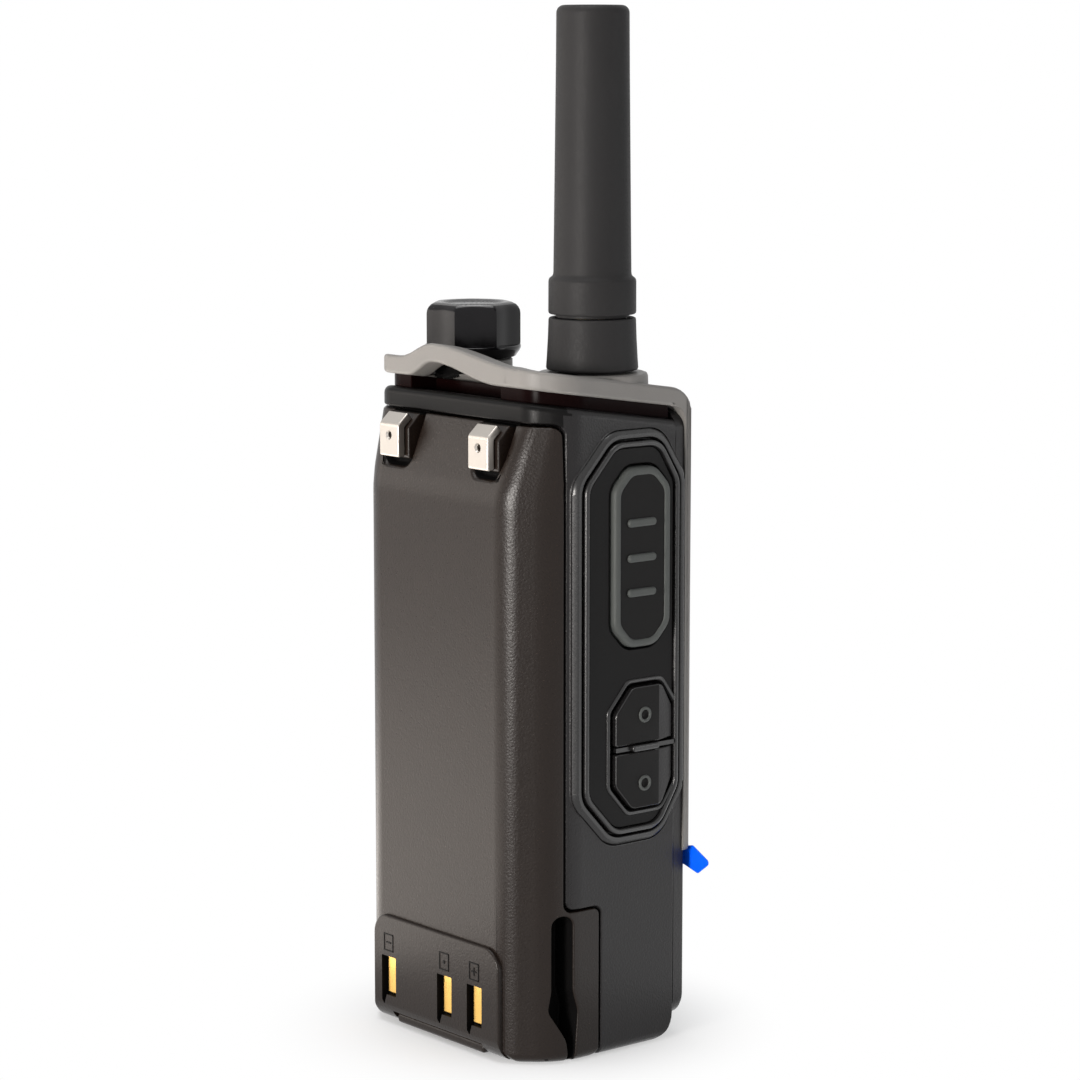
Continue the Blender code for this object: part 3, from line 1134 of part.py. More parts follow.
def make_battery_case():
    flat, top_flat = BACK_FLAT_WIDTH / 2, TOP_FLAT_WIDTH / 2
    foot = [(FOOT_RADIUS * (1 - math.cos(angle)), FOOT_RADIUS * (1 - math.sin(angle)))
            for angle in (0.0, math.radians(45), math.radians(90))]
    sections = [(height, battery_section(flat, BACK_Y, BACK_CHAMFER, inset)) for inset, height in foot[::-1]]
    sections.append((RAMP_LOW_Z, battery_section(flat, BACK_Y, BACK_CHAMFER)))
    sections.append((BATTERY_TOP_Z, battery_section(top_flat, ramp_y(BATTERY_TOP_Z), TOP_CHAMFER)))
    case = loft("battery_case", sections)
    step_z, corner = SEAM_STEP_Z - GAP / 2, SEAM_CORNER - GAP
    crown = quarter_arc(BATTERY_SEAM_Y, BATTERY_TOP_Z, CROWN_CORNER)
    last, end = Vector(crown[-2]), Vector(crown[-1])
    past = last + (end - last) * 3
    cut(case, prism("seam_step", "X", -HALF - CUT_PAST, HALF + CUT_PAST,
                    rounded([(BATTERY_LOW_Y - CUT_PAST, step_z - corner),
                             *quarter_arc(BATTERY_LOW_Y, step_z, corner),
                             (BATTERY_SEAM_Y, step_z, SEAM_CORNER), *crown[:-1],
                             tuple(past), (past.x, BATTERY_TOP_Z + CUT_PAST),
                             (BATTERY_LOW_Y - CUT_PAST, BATTERY_TOP_Z + CUT_PAST)])))
    bay = CELL_BAY_WIDTH / 2
    cut(case, box("cell_bay", (-bay, bay), (BATTERY_SEAM_Y - CUT_PAST, BACK_Y - BATTERY_WALL),
                  (CELL_BAY_LOW_Z, CELL_BAY_HIGH_Z)))
    add_clip_seats(case)
    add_contact_panel(case)
    for side in (1, -1):
        add_charger_guide(case, side)
    latch = LATCH_WIDTH / 2 + RUNNING_GAP
    spring_end = latch_front_y() - LATCH_TRAVEL - RUNNING_GAP
    cut(case, box("latch_pocket", (-latch, latch), (spring_end, latch_step_y() + RUNNING_GAP),
                  (-CUT_PAST, LATCH_LIFT + LATCH_HEIGHT + RUNNING_GAP)))
    cut(case, box("latch_lip_slot", (-latch, latch), (latch_front_y(), BACK_Y + CUT_PAST),
                  (-CUT_PAST * 2, LATCH_LIFT + LATCH_LIP_HEIGHT + RUNNING_GAP)))
    return adopt(case, "battery_black")


def plate_profile(grow):
    """Side view of a bent clip plate in (y, z), thickened forward by a margin."""
    face = BACK_Y + PLATE_PROUD
    back = face - PLATE_THICKNESS - grow
    top_z = PLATE_BEND_Z + PLATE_BEND
    step = (PLATE_THICKNESS + grow) * math.tan(math.radians(22.5))
    lean = (PLATE_THICKNESS + grow) * math.sqrt(0.5)
    return [(face, PLATE_LOW_Z), (face, PLATE_BEND_Z), (face - PLATE_BEND, top_z),
            (face - PLATE_BEND - lean, top_z - lean), (back, PLATE_BEND_Z - step), (back, PLATE_LOW_Z)]


def add_clip_seats(case):
    """A tapered pocket at each side of the ramp, with the block that carries a clip plate."""
    face = BACK_Y + PLATE_PROUD - PLATE_THICKNESS - GAP
    bend = PLATE_BEND_Z - (PLATE_THICKNESS + GAP) * math.tan(math.radians(22.5))
    low = PLATE_LOW_Z - BLOCK_MARGIN
    top = BATTERY_TOP_Z
    half = PLATE_WIDTH / 2 + BLOCK_MARGIN
    for side in (1, -1):
        middle = side * PLATE_X
        pocket_low = low - POCKET_MARGIN / 2
        floor = prism("pocket_floor", "X", middle - HALF, middle + HALF,
                      [(ramp_y(pocket_low) - POCKET_DEPTH, pocket_low), (BACK_Y + CUT_PAST, pocket_low),
                       (BACK_Y + CUT_PAST, top + CUT_PAST),
                       (ramp_y(top + CUT_PAST) - POCKET_DEPTH, top + CUT_PAST)])
        wide, narrow = half + POCKET_MARGIN, half + POCKET_MARGIN - POCKET_TAPER
        outline = rounded([(middle - narrow, pocket_low, 1.5 * MM), (middle + narrow, pocket_low, 1.5 * MM),
                           (middle + wide, top + CUT_PAST * 2), (middle - wide, top + CUT_PAST * 2)])
        keep(floor, prism("pocket_outline", "Y", 0.0, BACK_Y + CUT_PAST * 2, outline))
        cut(case, floor)
        root = TOP_REAR_Y - POCKET_DEPTH * 2
        rise = face - (top - bend)
        block = prism("clip_block", "X", middle - half, middle + half,
                      [(root, low), (face, low), (face, bend), (rise, top), (root, top)])
        join(case, block)


def add_contact_panel(case):
    half = CONTACT_PANEL_WIDTH / 2
    face = BACK_Y + CONTACT_PANEL_PROUD
    corner = CONTACT_PANEL_CORNER
    outline = rounded([(-half, CONTACT_PANEL_LOW_Z, 1.0 * MM), (half, CONTACT_PANEL_LOW_Z, 1.0 * MM),
                       (half, CONTACT_PANEL_HIGH_Z, corner), (-half, CONTACT_PANEL_HIGH_Z, corner)])
    panel = prism("contact_panel", "Y", BACK_Y - BATTERY_WALL, face, outline)
    join(case, bevel(panel, 0.3 * MM, 1))
    floor = face - CONTACT_SUNK - CONTACT_THICKNESS - GAP
    for x in CONTACT_X:
        left, right = x - CONTACT_WIDTH / 2 - GAP, x + CONTACT_WIDTH / 2 + CONTACT_SLOT_SIDE
        foot = CONTACT_LOW_Z - CONTACT_SLOT_FOOT
        slot = rounded([(right - CONTACT_SLOT_SIDE * 2, foot, 0.3 * MM),
                        (right, foot + CONTACT_SLOT_SIDE, 0.3 * MM), (right, CONTACT_HIGH_Z + GAP),
                        (left, CONTACT_HIGH_Z + GAP), (left, CONTACT_LOW_Z - GAP)])
        cut(case, prism("contact_slot", "Y", floor, face + CUT_PAST, slot))


def add_charger_guide(case, side):
    """Upright groove that runs down a charger's rail, wider at its mouth."""
    deep, shallow = HALF - GUIDE_DEPTH, HALF - GUIDE_MOUTH_DEPTH
    reach = HALF + CUT_PAST
    groove = rounded([(GUIDE_FRONT_Y, -CUT_PAST), (GUIDE_REAR_Y, -CUT_PAST),
                      (GUIDE_REAR_Y, GUIDE_TOP_Z, 2.1 * MM), (GUIDE_FRONT_Y, GUIDE_TOP_Z, 2.1 * MM)])
    mouth = [(GUIDE_FRONT_Y - GUIDE_MOUTH_FLARE, -CUT_PAST), (GUIDE_REAR_Y + GUIDE_MOUTH_FLARE, -CUT_PAST),
             (GUIDE_REAR_Y + GUIDE_MOUTH_FLARE, GUIDE_MOUTH_Z * 0.6), (GUIDE_REAR_Y, GUIDE_MOUTH_Z),
             (GUIDE_FRONT_Y, GUIDE_MOUTH_Z), (GUIDE_FRONT_Y - GUIDE_MOUTH_FLARE, GUIDE_MOUTH_Z * 0.6)]
    for name, outline, inner in (("guide_groove", groove, deep), ("guide_mouth", mouth, shallow)):
        low, high = sorted((side * inner, side * reach))
        cut(case, prism(name, "X", low, high, outline))


def latch_front_y():
    return BACK_Y - LATCH_SET_BACK - LATCH_DEPTH


def latch_step_y():
    """Where the latch steps down to the lip that shows under the contact panel."""
    return BACK_Y - LATCH_SET_BACK - LATCH_LIP_DEPTH


def make_battery_pieces():
    bay = CELL_BAY_WIDTH / 2 - GAP
    cover_back = BATTERY_SEAM_Y + INNER_COVER_THICKNESS
    low, high = CELL_BAY_LOW_Z + GAP, CELL_BAY_HIGH_Z - GAP
    cover = box("battery_inner_cover", (-bay, bay), (BATTERY_SEAM_Y, cover_back), (low, high))
    adopt(cover, "battery_black")
    cell_front, cell_back = cover_back + GAP, BACK_Y - BATTERY_WALL - GAP
    cell = box("battery_cell", (-bay, bay), (cell_front, cell_back), (high - CELL_HEIGHT, high))
    adopt(bevel(cell, 1.2 * MM, 3), "cell_wrap")
    board = box("battery_board", (-bay, bay), (cell_front, cell_front + BOARD_THICKNESS),
                (low, high - CELL_HEIGHT - GAP))
    adopt(board, "circuit_board")

    contact_face = BACK_Y + CONTACT_PANEL_PROUD - CONTACT_SUNK
    for number, x in enumerate(CONTACT_X, 1):
        contact = box("charge_contact_%d" % number, (x - CONTACT_WIDTH / 2, x + CONTACT_WIDTH / 2),
                      (contact_face - CONTACT_THICKNESS, contact_face), (CONTACT_LOW_Z, CONTACT_HIGH_Z))
        adopt(contact, "gold")

    for name, side in (("left", -1), ("right", 1)):
        middle = side * PLATE_X
        plate = prism("belt_clip_plate_" + name, "X", middle - PLATE_WIDTH / 2, middle + PLATE_WIDTH / 2,
                      plate_profile(0.0))
        cut(plate, cylinder("plate_hole", "Y", (middle, PLATE_HOLE_Z), BACK_Y - PLATE_THICKNESS * 2,
                            BACK_Y + CUT_PAST, PLATE_HOLE_RADIUS, 16))
        adopt(plate, "steel")


def make_latch():
    front = latch_front_y()
    rear = front + LATCH_DEPTH
    low, high = LATCH_LIFT, LATCH_LIFT + LATCH_HEIGHT
    half = LATCH_WIDTH / 2
    middle_z = (low + high) / 2
    step = latch_step_y()
    profile = [(front, low), (rear, low), (rear, low + LATCH_LIP_HEIGHT), (step, low + LATCH_LIP_HEIGHT),
               (step, high), (front, high)]
    latch = prism("battery_latch", "X", -half, half, profile)
    bevel(latch, 0.4 * MM, 2)
    bore_radius = SPRING_RADIUS + SPRING_WIRE + GAP / 2
    spring_front = front - LATCH_TRAVEL
    spring_rear = spring_front + SPRING_LENGTH
    cut(latch, cylinder("spring_bore", "Y", (0.0, middle_z), front - CUT_PAST, spring_rear + GAP,
                        bore_radius, 16))
    adopt(set_origin(latch, (0.0, rear, middle_z)), "battery_black")
    make_spring(spring_front + SPRING_WIRE, spring_rear - SPRING_WIRE, middle_z)


def make_spring(front, rear, middle_z):
    """Coil of round wire that pushes the latch back out."""
    curve = bpy.data.curves.new("latch_spring", "CURVE")
    curve.dimensions = "3D"
    curve.bevel_depth = SPRING_WIRE
    curve.bevel_resolution = 1
    curve.use_fill_caps = True
    count = SPRING_TURNS * SPRING_STEPS
    spline = curve.splines.new("POLY")
    spline.points.add(count)
    for step, point in enumerate(spline.points):
        angle = 2 * math.pi * step / SPRING_STEPS
        along = front + (rear - front) * step / count
        point.co = (SPRING_RADIUS * math.cos(angle), along, middle_z + SPRING_RADIUS * math.sin(angle), 1.0)
    spring = new_object("spring_wire", curve)
    wire_gap = (rear - front) / SPRING_TURNS - 2 * SPRING_WIRE
    print("latch spring: least gap between turns %.2f mm" % (wire_gap / MM))
    spring = meshed(spring)
    spring.name = "latch_spring"
    adopt(spring, "steel")


make_rear_housing()
make_top_cover()
make_light_bar()
make_front_cover()
make_front_pieces()
make_speaker()
make_side_controls()
make_volume_control()
make_antenna()
make_inside()
make_accessory_socket()
make_battery_case()
make_battery_pieces()
make_latch()
for piece in parts.objects:
    if not piece.modifiers or piece.modifiers[0].type != "SCREW":
        smooth(piece)
    normals = piece.modifiers.new("Normals", "WEIGHTED_NORMAL")
    normals.keep_sharp = True
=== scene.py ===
import math
import bpy
import bmesh
from mathutils import Matrix, Vector


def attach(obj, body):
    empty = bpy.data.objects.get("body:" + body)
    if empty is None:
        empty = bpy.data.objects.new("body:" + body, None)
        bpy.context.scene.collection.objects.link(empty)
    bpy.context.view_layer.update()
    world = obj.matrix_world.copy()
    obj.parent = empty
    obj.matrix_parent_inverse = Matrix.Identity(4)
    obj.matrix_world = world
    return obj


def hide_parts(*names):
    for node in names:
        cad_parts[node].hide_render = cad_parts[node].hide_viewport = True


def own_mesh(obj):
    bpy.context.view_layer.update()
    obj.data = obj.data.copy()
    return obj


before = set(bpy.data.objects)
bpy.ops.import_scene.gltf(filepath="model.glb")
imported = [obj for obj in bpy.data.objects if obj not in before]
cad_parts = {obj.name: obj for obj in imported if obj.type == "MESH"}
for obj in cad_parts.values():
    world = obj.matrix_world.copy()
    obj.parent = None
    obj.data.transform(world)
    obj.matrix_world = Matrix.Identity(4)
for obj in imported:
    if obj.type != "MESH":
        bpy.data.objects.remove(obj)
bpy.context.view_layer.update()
print("frame loaded with", len(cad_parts), "nodes")

scene = bpy.context.scene
scene.view_settings.view_transform = "Standard"
mm = 0.001  # pieces are drawn in millimetres and shrunk to metres when they are settled


# node helpers

def setInputs(node, values):
    for name, value in values.items():
        node.inputs[name].default_value = value


def addNode(tree, kind, values, **sources):  # sources are the sockets that feed its inputs
    node = tree.nodes.new("ShaderNode" + kind)
    setInputs(node, values)
    for name, source in sources.items():
        tree.links.new(source, node.inputs[name])
    return node


def joinNumbers(tree, operation, first, second):
    node = tree.nodes.new("ShaderNodeMath")
    node.operation = operation
    tree.links.new(first, node.inputs[0])
    tree.links.new(second, node.inputs[1])
    return node.outputs[0]


def mixShaders(tree, share, first, second, output):
    mix = tree.nodes.new("ShaderNodeMixShader")
    tree.links.new(share, mix.inputs["Fac"])
    tree.links.new(first.outputs[0], mix.inputs[1])
    tree.links.new(second.outputs[0], mix.inputs[2])
    tree.links.new(mix.outputs[0], tree.nodes[output].inputs["Surface"])


# camera

shot = {"place": (-0.47846, 0.38591, 0.18365), "turn": (81.6, 0.0, 230.7), "lens": 110.83, "sensor": 36.0,
        "nearest": 0.01}
lens = bpy.data.cameras.new("photoCamera")
lens.lens = shot["lens"]
lens.sensor_width = shot["sensor"]
lens.clip_start = shot["nearest"]
camera = bpy.data.objects.new("photoCamera", lens)
camera.location = shot["place"]
camera.rotation_euler = [math.radians(angle) for angle in shot["turn"]]
scene.collection.objects.link(camera)
scene.camera = camera


# light: four panels, and two discs lying on the table that show in the lower back and side

lamps = {
    "keyPanel": {"place": (0.85, 0.75, 0.1), "aim": (0.0, 0.0, 0.04), "size": 0.9, "watts": 4.6, "warm": 1},
    "edgePanel": {"place": (-0.22, 0.95, 0.12), "aim": (0.0, 0.0, 0.07), "size": 0.3, "watts": 12.0, "warm": 0.5},
    "sidePanel": {"place": (-0.9, -0.8, 0.2), "aim": (0.0, 0.0, 0.08), "size": 0.5, "watts": 1.5, "warm": 0},
    "topPanel": {"place": (0.1, 0.1, 1.2), "aim": (0.0, 0.0, 0.1), "size": 0.7, "watts": 7.0, "warm": 0},
    "rearTable": {"place": (0.16, 0.145, 0.003), "aim": (0.16, 0.145, 1), "size": 0.32, "watts": 0.7, "warm": 1},
    "sideTable": {"place": (-0.16, -0.13, 0.003), "aim": (-0.16, -0.13, 1), "size": 0.32, "watts": 0.2, "warm": 0},
}
warmLoss = (0.0, 0.08, 0.16)  # what a warm lamp lacks of white
for name, spec in lamps.items():
    lamp = bpy.data.lights.new(name, "AREA")
    lamp.shape = "DISK"
    lamp.size = spec["size"]
    lamp.energy = spec["watts"]
    lamp.color = [1.0 - loss * spec["warm"] for loss in warmLoss]
    holder = bpy.data.objects.new(name, lamp)
    holder.location = spec["place"]
    holder.rotation_euler = (Vector(spec["place"]) - Vector(spec["aim"])).to_track_quat("Z", "Y").to_euler()
    holder.visible_camera = False
    scene.collection.objects.link(holder)

studio = {"seen": (1.0, 1.0, 1.0, 1.0), "cast": (0.97, 0.98, 1.0, 1.0), "castStrength": 0.35}
world = bpy.data.worlds.new("studio")
scene.world = world
world.use_nodes = True
tree = world.node_tree
seen = tree.nodes["Background"]  # met by the camera, gloss and glass, while cast lights the object
setInputs(seen, {"Color": studio["seen"], "Strength": 1.0})
cast = addNode(tree, "Background", {"Color": studio["cast"], "Strength": studio["castStrength"]})
rays = addNode(tree, "LightPath", {}).outputs
direct = joinNumbers(tree, "MAXIMUM", rays["Is Camera Ray"], rays["Is Transmission Ray"])
mixShaders(tree, joinNumbers(tree, "MAXIMUM", direct, rays["Is Glossy Ray"]), cast, seen, "World Output")


# floor of white paper: shadow near the object, plain white further off

paper = {"half": 6.0, "colour": (0.9, 0.9, 0.9, 1.0), "rough": 0.95, "fadeFrom": 0.01, "fadeTo": 0.052,
         "nearShare": 0.15}
bm = bmesh.new()
bmesh.ops.create_grid(bm, x_segments=1, y_segments=1, size=paper["half"])
floorMesh = bpy.data.meshes.new("floor")
bm.to_mesh(floorMesh)
bm.free()
floor = bpy.data.objects.new("floor", floorMesh)
scene.collection.objects.link(floor)
floorPaper = bpy.data.materials.new("floorPaper")
floorPaper.use_nodes = True
tree = floorPaper.node_tree
matt = tree.nodes["Principled BSDF"]
setInputs(matt, {"Base Color": paper["colour"], "Roughness": paper["rough"], "Specular IOR Level": 0.0})
glow = addNode(tree, "Emission", {"Strength": 1.0})
reach = addNode(tree, "VectorMath", {}, Vector=addNode(tree, "TexCoord", {}).outputs["Object"])
reach.operation = "LENGTH"
fade = addNode(tree, "MapRange", {"From Min": paper["fadeFrom"], "From Max": paper["fadeTo"],
                                  "To Min": paper["nearShare"], "To Max": 1.0}, Value=reach.outputs["Value"])
fade.interpolation_type = "SMOOTHSTEP"
rays = addNode(tree, "LightPath", {}).outputs
direct = joinNumbers(tree, "MAXIMUM", rays["Is Camera Ray"], rays["Is Transmission Ray"])
plain = joinNumbers(tree, "MULTIPLY", fade.outputs["Result"], direct)
mixShaders(tree, joinNumbers(tree, "MAXIMUM", plain, rays["Is Glossy Ray"]), matt, glow, "Material Output")
floorMesh.materials.append(floorPaper)
print("camera, light and floor set")


# finishes

finishes = {}
noiseSpan = (0.3, 0.7)  # where most of a noise pattern lies
pebbleSmooth = 0.6


def makeFinish(name, colour, rough, grain, depth, spread, metal=0.0, specular=0.3, alpha=1.0, pebble=0.0,
               patch=9.0, stretch=(1.0, 1.0, 1.0)):
    finish = bpy.data.materials.new(name)
    finish.use_nodes = True
    tree = finish.node_tree
    links = tree.links
    shader = tree.nodes["Principled BSDF"]
    setInputs(shader, {"Metallic": metal, "Specular IOR Level": specular, "Alpha": alpha})
    where = addNode(tree, "TexCoord", {}).outputs["Object"]
    drawn = addNode(tree, "Mapping", {"Scale": stretch}, Vector=where).outputs["Vector"]
    drift = addNode(tree, "TexNoise", {"Scale": 1.0 / (patch * mm), "Detail": 3.0}, Vector=where)  # of colour
    tint = tree.nodes.new("ShaderNodeMix")
    tint.data_type = "RGBA"
    setInputs(tint, {"A": (*[c * (1 - spread) for c in colour], 1.0),
                     "B": (*[c * (1 + spread) for c in colour], 1.0)})
    links.new(drift.outputs["Fac"], tint.inputs["Factor"])
    links.new(tint.outputs["Result"], shader.inputs["Base Color"])
    height = addNode(tree, "TexNoise", {"Scale": 1.0 / (grain * mm), "Detail": 2.0}, Vector=drawn).outputs["Fac"]
    gloss = addNode(tree, "MapRange", {"From Min": noiseSpan[0], "From Max": noiseSpan[1], "To Min": rough[0],
                                       "To Max": rough[1]}, Value=height)
    links.new(gloss.outputs["Result"], shader.inputs["Roughness"])
    if pebble:  # leathery moulded pebbles, broken up by the grain
        pebbles = tree.nodes.new("ShaderNodeTexVoronoi")
        pebbles.feature = "SMOOTH_F1"
        setInputs(pebbles, {"Scale": 1.0 / (pebble * mm), "Smoothness": pebbleSmooth})
        links.new(where, pebbles.inputs["Vector"])
        height = joinNumbers(tree, "SUBTRACT", height, pebbles.outputs["Distance"])
    if depth:
        bump = addNode(tree, "Bump", {"Strength": 1.0, "Distance": depth * mm}, Height=height)
        links.new(bump.outputs["Normal"], shader.inputs["Normal"])
    finishes[name] = finish


# name, colour, roughness from and to, grain and its depth in millimetres, spread of the colour
makeFinish("batteryPlastic", (0.0095, 0.006, 0.0044), (0.27, 0.38), 0.35, 0.02, 0.12,
           pebble=0.42, specular=0.22)
makeFinish("casePlastic", (0.0095, 0.0086, 0.009), (0.3, 0.42), 0.35, 0.03, 0.15, pebble=0.42, specular=0.24)
makeFinish("panelPlastic", (0.0032, 0.0029, 0.0029), (0.3, 0.4), 0.4, 0.01, 0.15, specular=0.1)
makeFinish("beadPlastic", (0.006, 0.0056, 0.0058), (0.26, 0.34), 0.4, 0.008, 0.15, specular=0.5)
makeFinish("greyPlastic", (0.16, 0.152, 0.143), (0.42, 0.55), 0.35, 0.012, 0.06, specular=0.35)
makeFinish("padRubber", (0.0042, 0.0038, 0.0037), (0.34, 0.46), 0.3, 0.012, 0.15, specular=0.1)
makeFinish("rimRubber", (0.051, 0.055, 0.052), (0.5, 0.65), 0.3, 0.012, 0.08)
makeFinish("knobPlastic", (0.0045, 0.004, 0.0048), (0.14, 0.2), 0.6, 0.003, 0.1, specular=0.2)
# painted reflection: a much lighter finish for the knob's top stands in for the sheen it catches
makeFinish("paintedKnobTopSheen", (0.045, 0.044, 0.045), (0.22, 0.32), 0.4, 0.004, 0.1, specular=0.6)
makeFinish("antennaRubber", (0.02, 0.0194, 0.0197), (0.46, 0.58), 0.45, 0.012, 0.12, specular=0.1)
makeFinish("smokedStrip", (0.004, 0.0012, 0.0012), (0.16, 0.24), 1.5, 0.0, 0.3, specular=0.02)
makeFinish("plateSteel", (0.46, 0.428, 0.392), (0.32, 0.44), 0.25, 0.004, 0.06,
           metal=1.0, stretch=(1.0, 1.0, 0.08))
makeFinish("turnedBrass", (0.7, 0.52, 0.25), (0.22, 0.34), 0.2, 0.003, 0.05, metal=1.0, stretch=(0.1, 0.1, 1.0))
makeFinish("contactGold", (0.95, 0.58, 0.16), (0.24, 0.36), 0.25, 0.003, 0.05,
           metal=1.0, stretch=(1.0, 1.0, 0.1))
makeFinish("windowPane", (0.008, 0.009, 0.011), (0.04, 0.08), 2.0, 0.0, 0.1, specular=0.5)
makeFinish("tabBlue", (0.0, 0.1, 0.86), (0.35, 0.45), 0.8, 0.0, 0.04)
makeFinish("clearFilm", (0.35, 0.5, 0.8), (0.08, 0.16), 3.0, 0.0, 0.05, alpha=0.16)
makeFinish("castAlloy", (0.42, 0.42, 0.43), (0.45, 0.6), 0.5, 0.02, 0.08, metal=1.0)
makeFinish("boardGreen", (0.015, 0.11, 0.045), (0.35, 0.5), 0.8, 0.006, 0.3, patch=3.0)
makeFinish("cellWrap", (0.1, 0.17, 0.4), (0.3, 0.42), 1.2, 0.01, 0.08)
# painted shade: a near-black finish laid on slot walls, grooves, pockets and contact slots that stand in shadow
makeFinish("paintedShadeBlack", (0.0022, 0.002, 0.002), (0.6, 0.75), 0.5, 0.01, 0.2, specular=0.06)
makeFinish("conePaper", (0.022, 0.022, 0.022), (0.75, 0.9), 0.35, 0.03, 0.2)
print("finishes mixed:", len(finishes))


# drawing helpers

def quarterTurn(steps):
    return [math.pi / 2 * k / steps for k in range(steps + 1)]


def fullTurn(steps):
    return [2 * math.pi * k / steps for k in range(steps)]


def roundOutline(corners, steps=8):  # corners are (u, v) or (u, v, radius)
    points = []
    for index, corner in enumerate(corners):
        here = Vector(corner[:2])
        radius = corner[2] if len(corner) > 2 else 0.0
        if not radius:
            points.append(here)
            continue
        back = (Vector(corners[index - 1][:2]) - here).normalized()
        ahead = (Vector(corners[(index + 1) % len(corners)][:2]) - here).normalized()
        half = back.angle(ahead) / 2
        middle = here + (back + ahead).normalized() * radius / math.sin(half)
        start = here + back * radius / math.tan(half) - middle
        sweep = start.angle_signed(here + ahead * radius / math.tan(half) - middle)
        for step in range(steps + 1):
            points.append(middle + Matrix.Rotation(-sweep * step / steps, 2) @ start)
    return points


def rectangle(u0, u1, v0, v1, radius=0.0, steps=8):
    return roundOutline([(u0, v0, radius), (u1, v0, radius), (u1, v1, radius), (u0, v1, radius)], steps)


def centred(u, v, halfU, halfV, radius=0.0, steps=8):  # a rectangle about its middle
    return rectangle(u - halfU, u + halfU, v - halfV, v + halfV, radius, steps)


def eightSided(y0, y1, z0, z1, rearCut, frontCut, heightCut, grow=0.0, radius=1.5):
    y0, y1, z0, z1 = y0 - grow, y1 + grow, z0 - grow, z1 + grow
    extra = grow * 0.586  # cut corners move out as far as the sides
    rearCut, frontCut, heightCut = rearCut + extra, frontCut + extra, heightCut + extra
    corners = [(y0 + frontCut, z0), (y1 - rearCut, z0), (y1, z0 + heightCut), (y1, z1 - heightCut),
               (y1 - rearCut, z1), (y0 + frontCut, z1), (y0, z1 - heightCut), (y0, z0 + heightCut)]
    return roundOutline([(*corner, radius) for corner in corners])


def spot(axis, u, v, w):
    return {"x": (w, u, v), "y": (u, w, v), "z": (u, v, w)}[axis]


def newPiece(name, bm):
    bmesh.ops.recalc_face_normals(bm, faces=bm.faces)
    mesh = bpy.data.meshes.new(name)
    bm.to_mesh(mesh)
    bm.free()
    piece = bpy.data.objects.new(name, mesh)
    scene.collection.objects.link(piece)
    return piece


def roundEdges(bm, edges, width, segments):
    bmesh.ops.bevel(bm, geom=edges, offset=width, offset_type="OFFSET", segments=segments, profile=0.5,
                    affect="EDGES", material=-1)


def pulled(name, axis, low, high, outline, lowRim=0.0, highRim=0.0, segments=3):
    bm = bmesh.new()
    face = bm.faces.new([bm.verts.new(spot(axis, u, v, low)) for u, v in outline])
    raised = bmesh.ops.extrude_face_region(bm, geom=[face])["geom"]
    top = {v for v in raised if isinstance(v, bmesh.types.BMVert)}
    bmesh.ops.translate(bm, verts=list(top), vec=Vector(spot(axis, 0, 0, high - low)))
    for rim, wanted in ((lowRim, 0), (highRim, 2)):
        if rim:
            edges = [e for e in bm.edges if sum(v in top for v in e.verts) == wanted]
            roundEdges(bm, edges, rim, segments)
            top = {v for v in bm.verts if v in top}
    return newPiece(name, bm)


def block(name, xs, ys, zs, rim=0.0, segments=2):
    bm = bmesh.new()
    bmesh.ops.create_cube(bm, size=1.0)
    bmesh.ops.scale(bm, verts=bm.verts, vec=(xs[1] - xs[0], ys[1] - ys[0], zs[1] - zs[0]))
    bmesh.ops.translate(bm, verts=bm.verts, vec=[(a + b) / 2 for a, b in (xs, ys, zs)])
    if rim:
        roundEdges(bm, list(bm.edges), rim, segments)
    return newPiece(name, bm)


def spun(name, place, profile, steps=96, axis="z", closed=False):  # profile of (radius, height)
    bm = bmesh.new()
    verts = [bm.verts.new((radius, 0.0, height)) for radius, height in profile]
    edges = [bm.edges.new(pair) for pair in zip(verts, verts[1:] + verts[:1] if closed else verts[1:])]
    bmesh.ops.spin(bm, geom=verts + edges, cent=(0, 0, 0), axis=(0, 0, 1), dvec=(0, 0, 0),
                   angle=2 * math.pi, steps=steps, use_merge=True)
    bmesh.ops.remove_doubles(bm, verts=bm.verts, dist=0.0005)
    turn = {"z": Matrix.Identity(3), "x": Matrix.Rotation(math.radians(90), 3, "Y"),
            "y": Matrix.Rotation(math.radians(-90), 3, "X")}[axis]
    bmesh.ops.transform(bm, matrix=Matrix.Translation(place) @ turn.to_4x4(), verts=bm.verts)
    return newPiece(name, bm)


def rod(name, axis, u, v, low, high, radius, steps=32):
    return pulled(name, axis, low, high, [(u + radius * math.cos(a), v + radius * math.sin(a))
                                          for a in fullTurn(steps)])


def lofted(name, rings):  # a closed body through loops of points
    bm = bmesh.new()
    loops = []
    for ring in rings:
        verts = [bm.verts.new(point) for point in ring]
        loops.append([bm.edges.new(pair) for pair in zip(verts, verts[1:] + verts[:1])])
    for lower, upper in zip(loops, loops[1:]):
        bmesh.ops.bridge_loops(bm, edges=lower + upper)
    for end in (loops[0], loops[-1]):
        bmesh.ops.edgeloop_fill(bm, edges=end)
    return newPiece(name, bm)


def bake(piece):
    bpy.context.view_layer.update()
    graph = bpy.context.evaluated_depsgraph_get()
    mesh = bpy.data.meshes.new_from_object(piece.evaluated_get(graph))
    piece.modifiers.clear()
    piece.data = mesh


def shape(piece, tool, how):
    step = piece.modifiers.new(how, "BOOLEAN")
    step.operation = how
    step.solver = "EXACT"
    step.object = tool
    bake(piece)
    bpy.data.objects.remove(tool, do_unlink=True)


def carve(piece, tool):
    shape(piece, tool, "DIFFERENCE")


def fuse(piece, tool):
    shape(piece, tool, "UNION")


def within(piece, tool):
    shape(piece, tool, "INTERSECT")


def cut(piece, *how):
    carve(piece, pulled(*how))


def drill(piece, *how):
    carve(piece, rod(*how))


def add(piece, *how, **rims):
    fuse(piece, pulled(*how, **rims))


def reshape(piece, change):
    bm = bmesh.new()
    bm.from_mesh(piece.data)
    change(bm)
    bm.to_mesh(piece.data)
    bm.free()


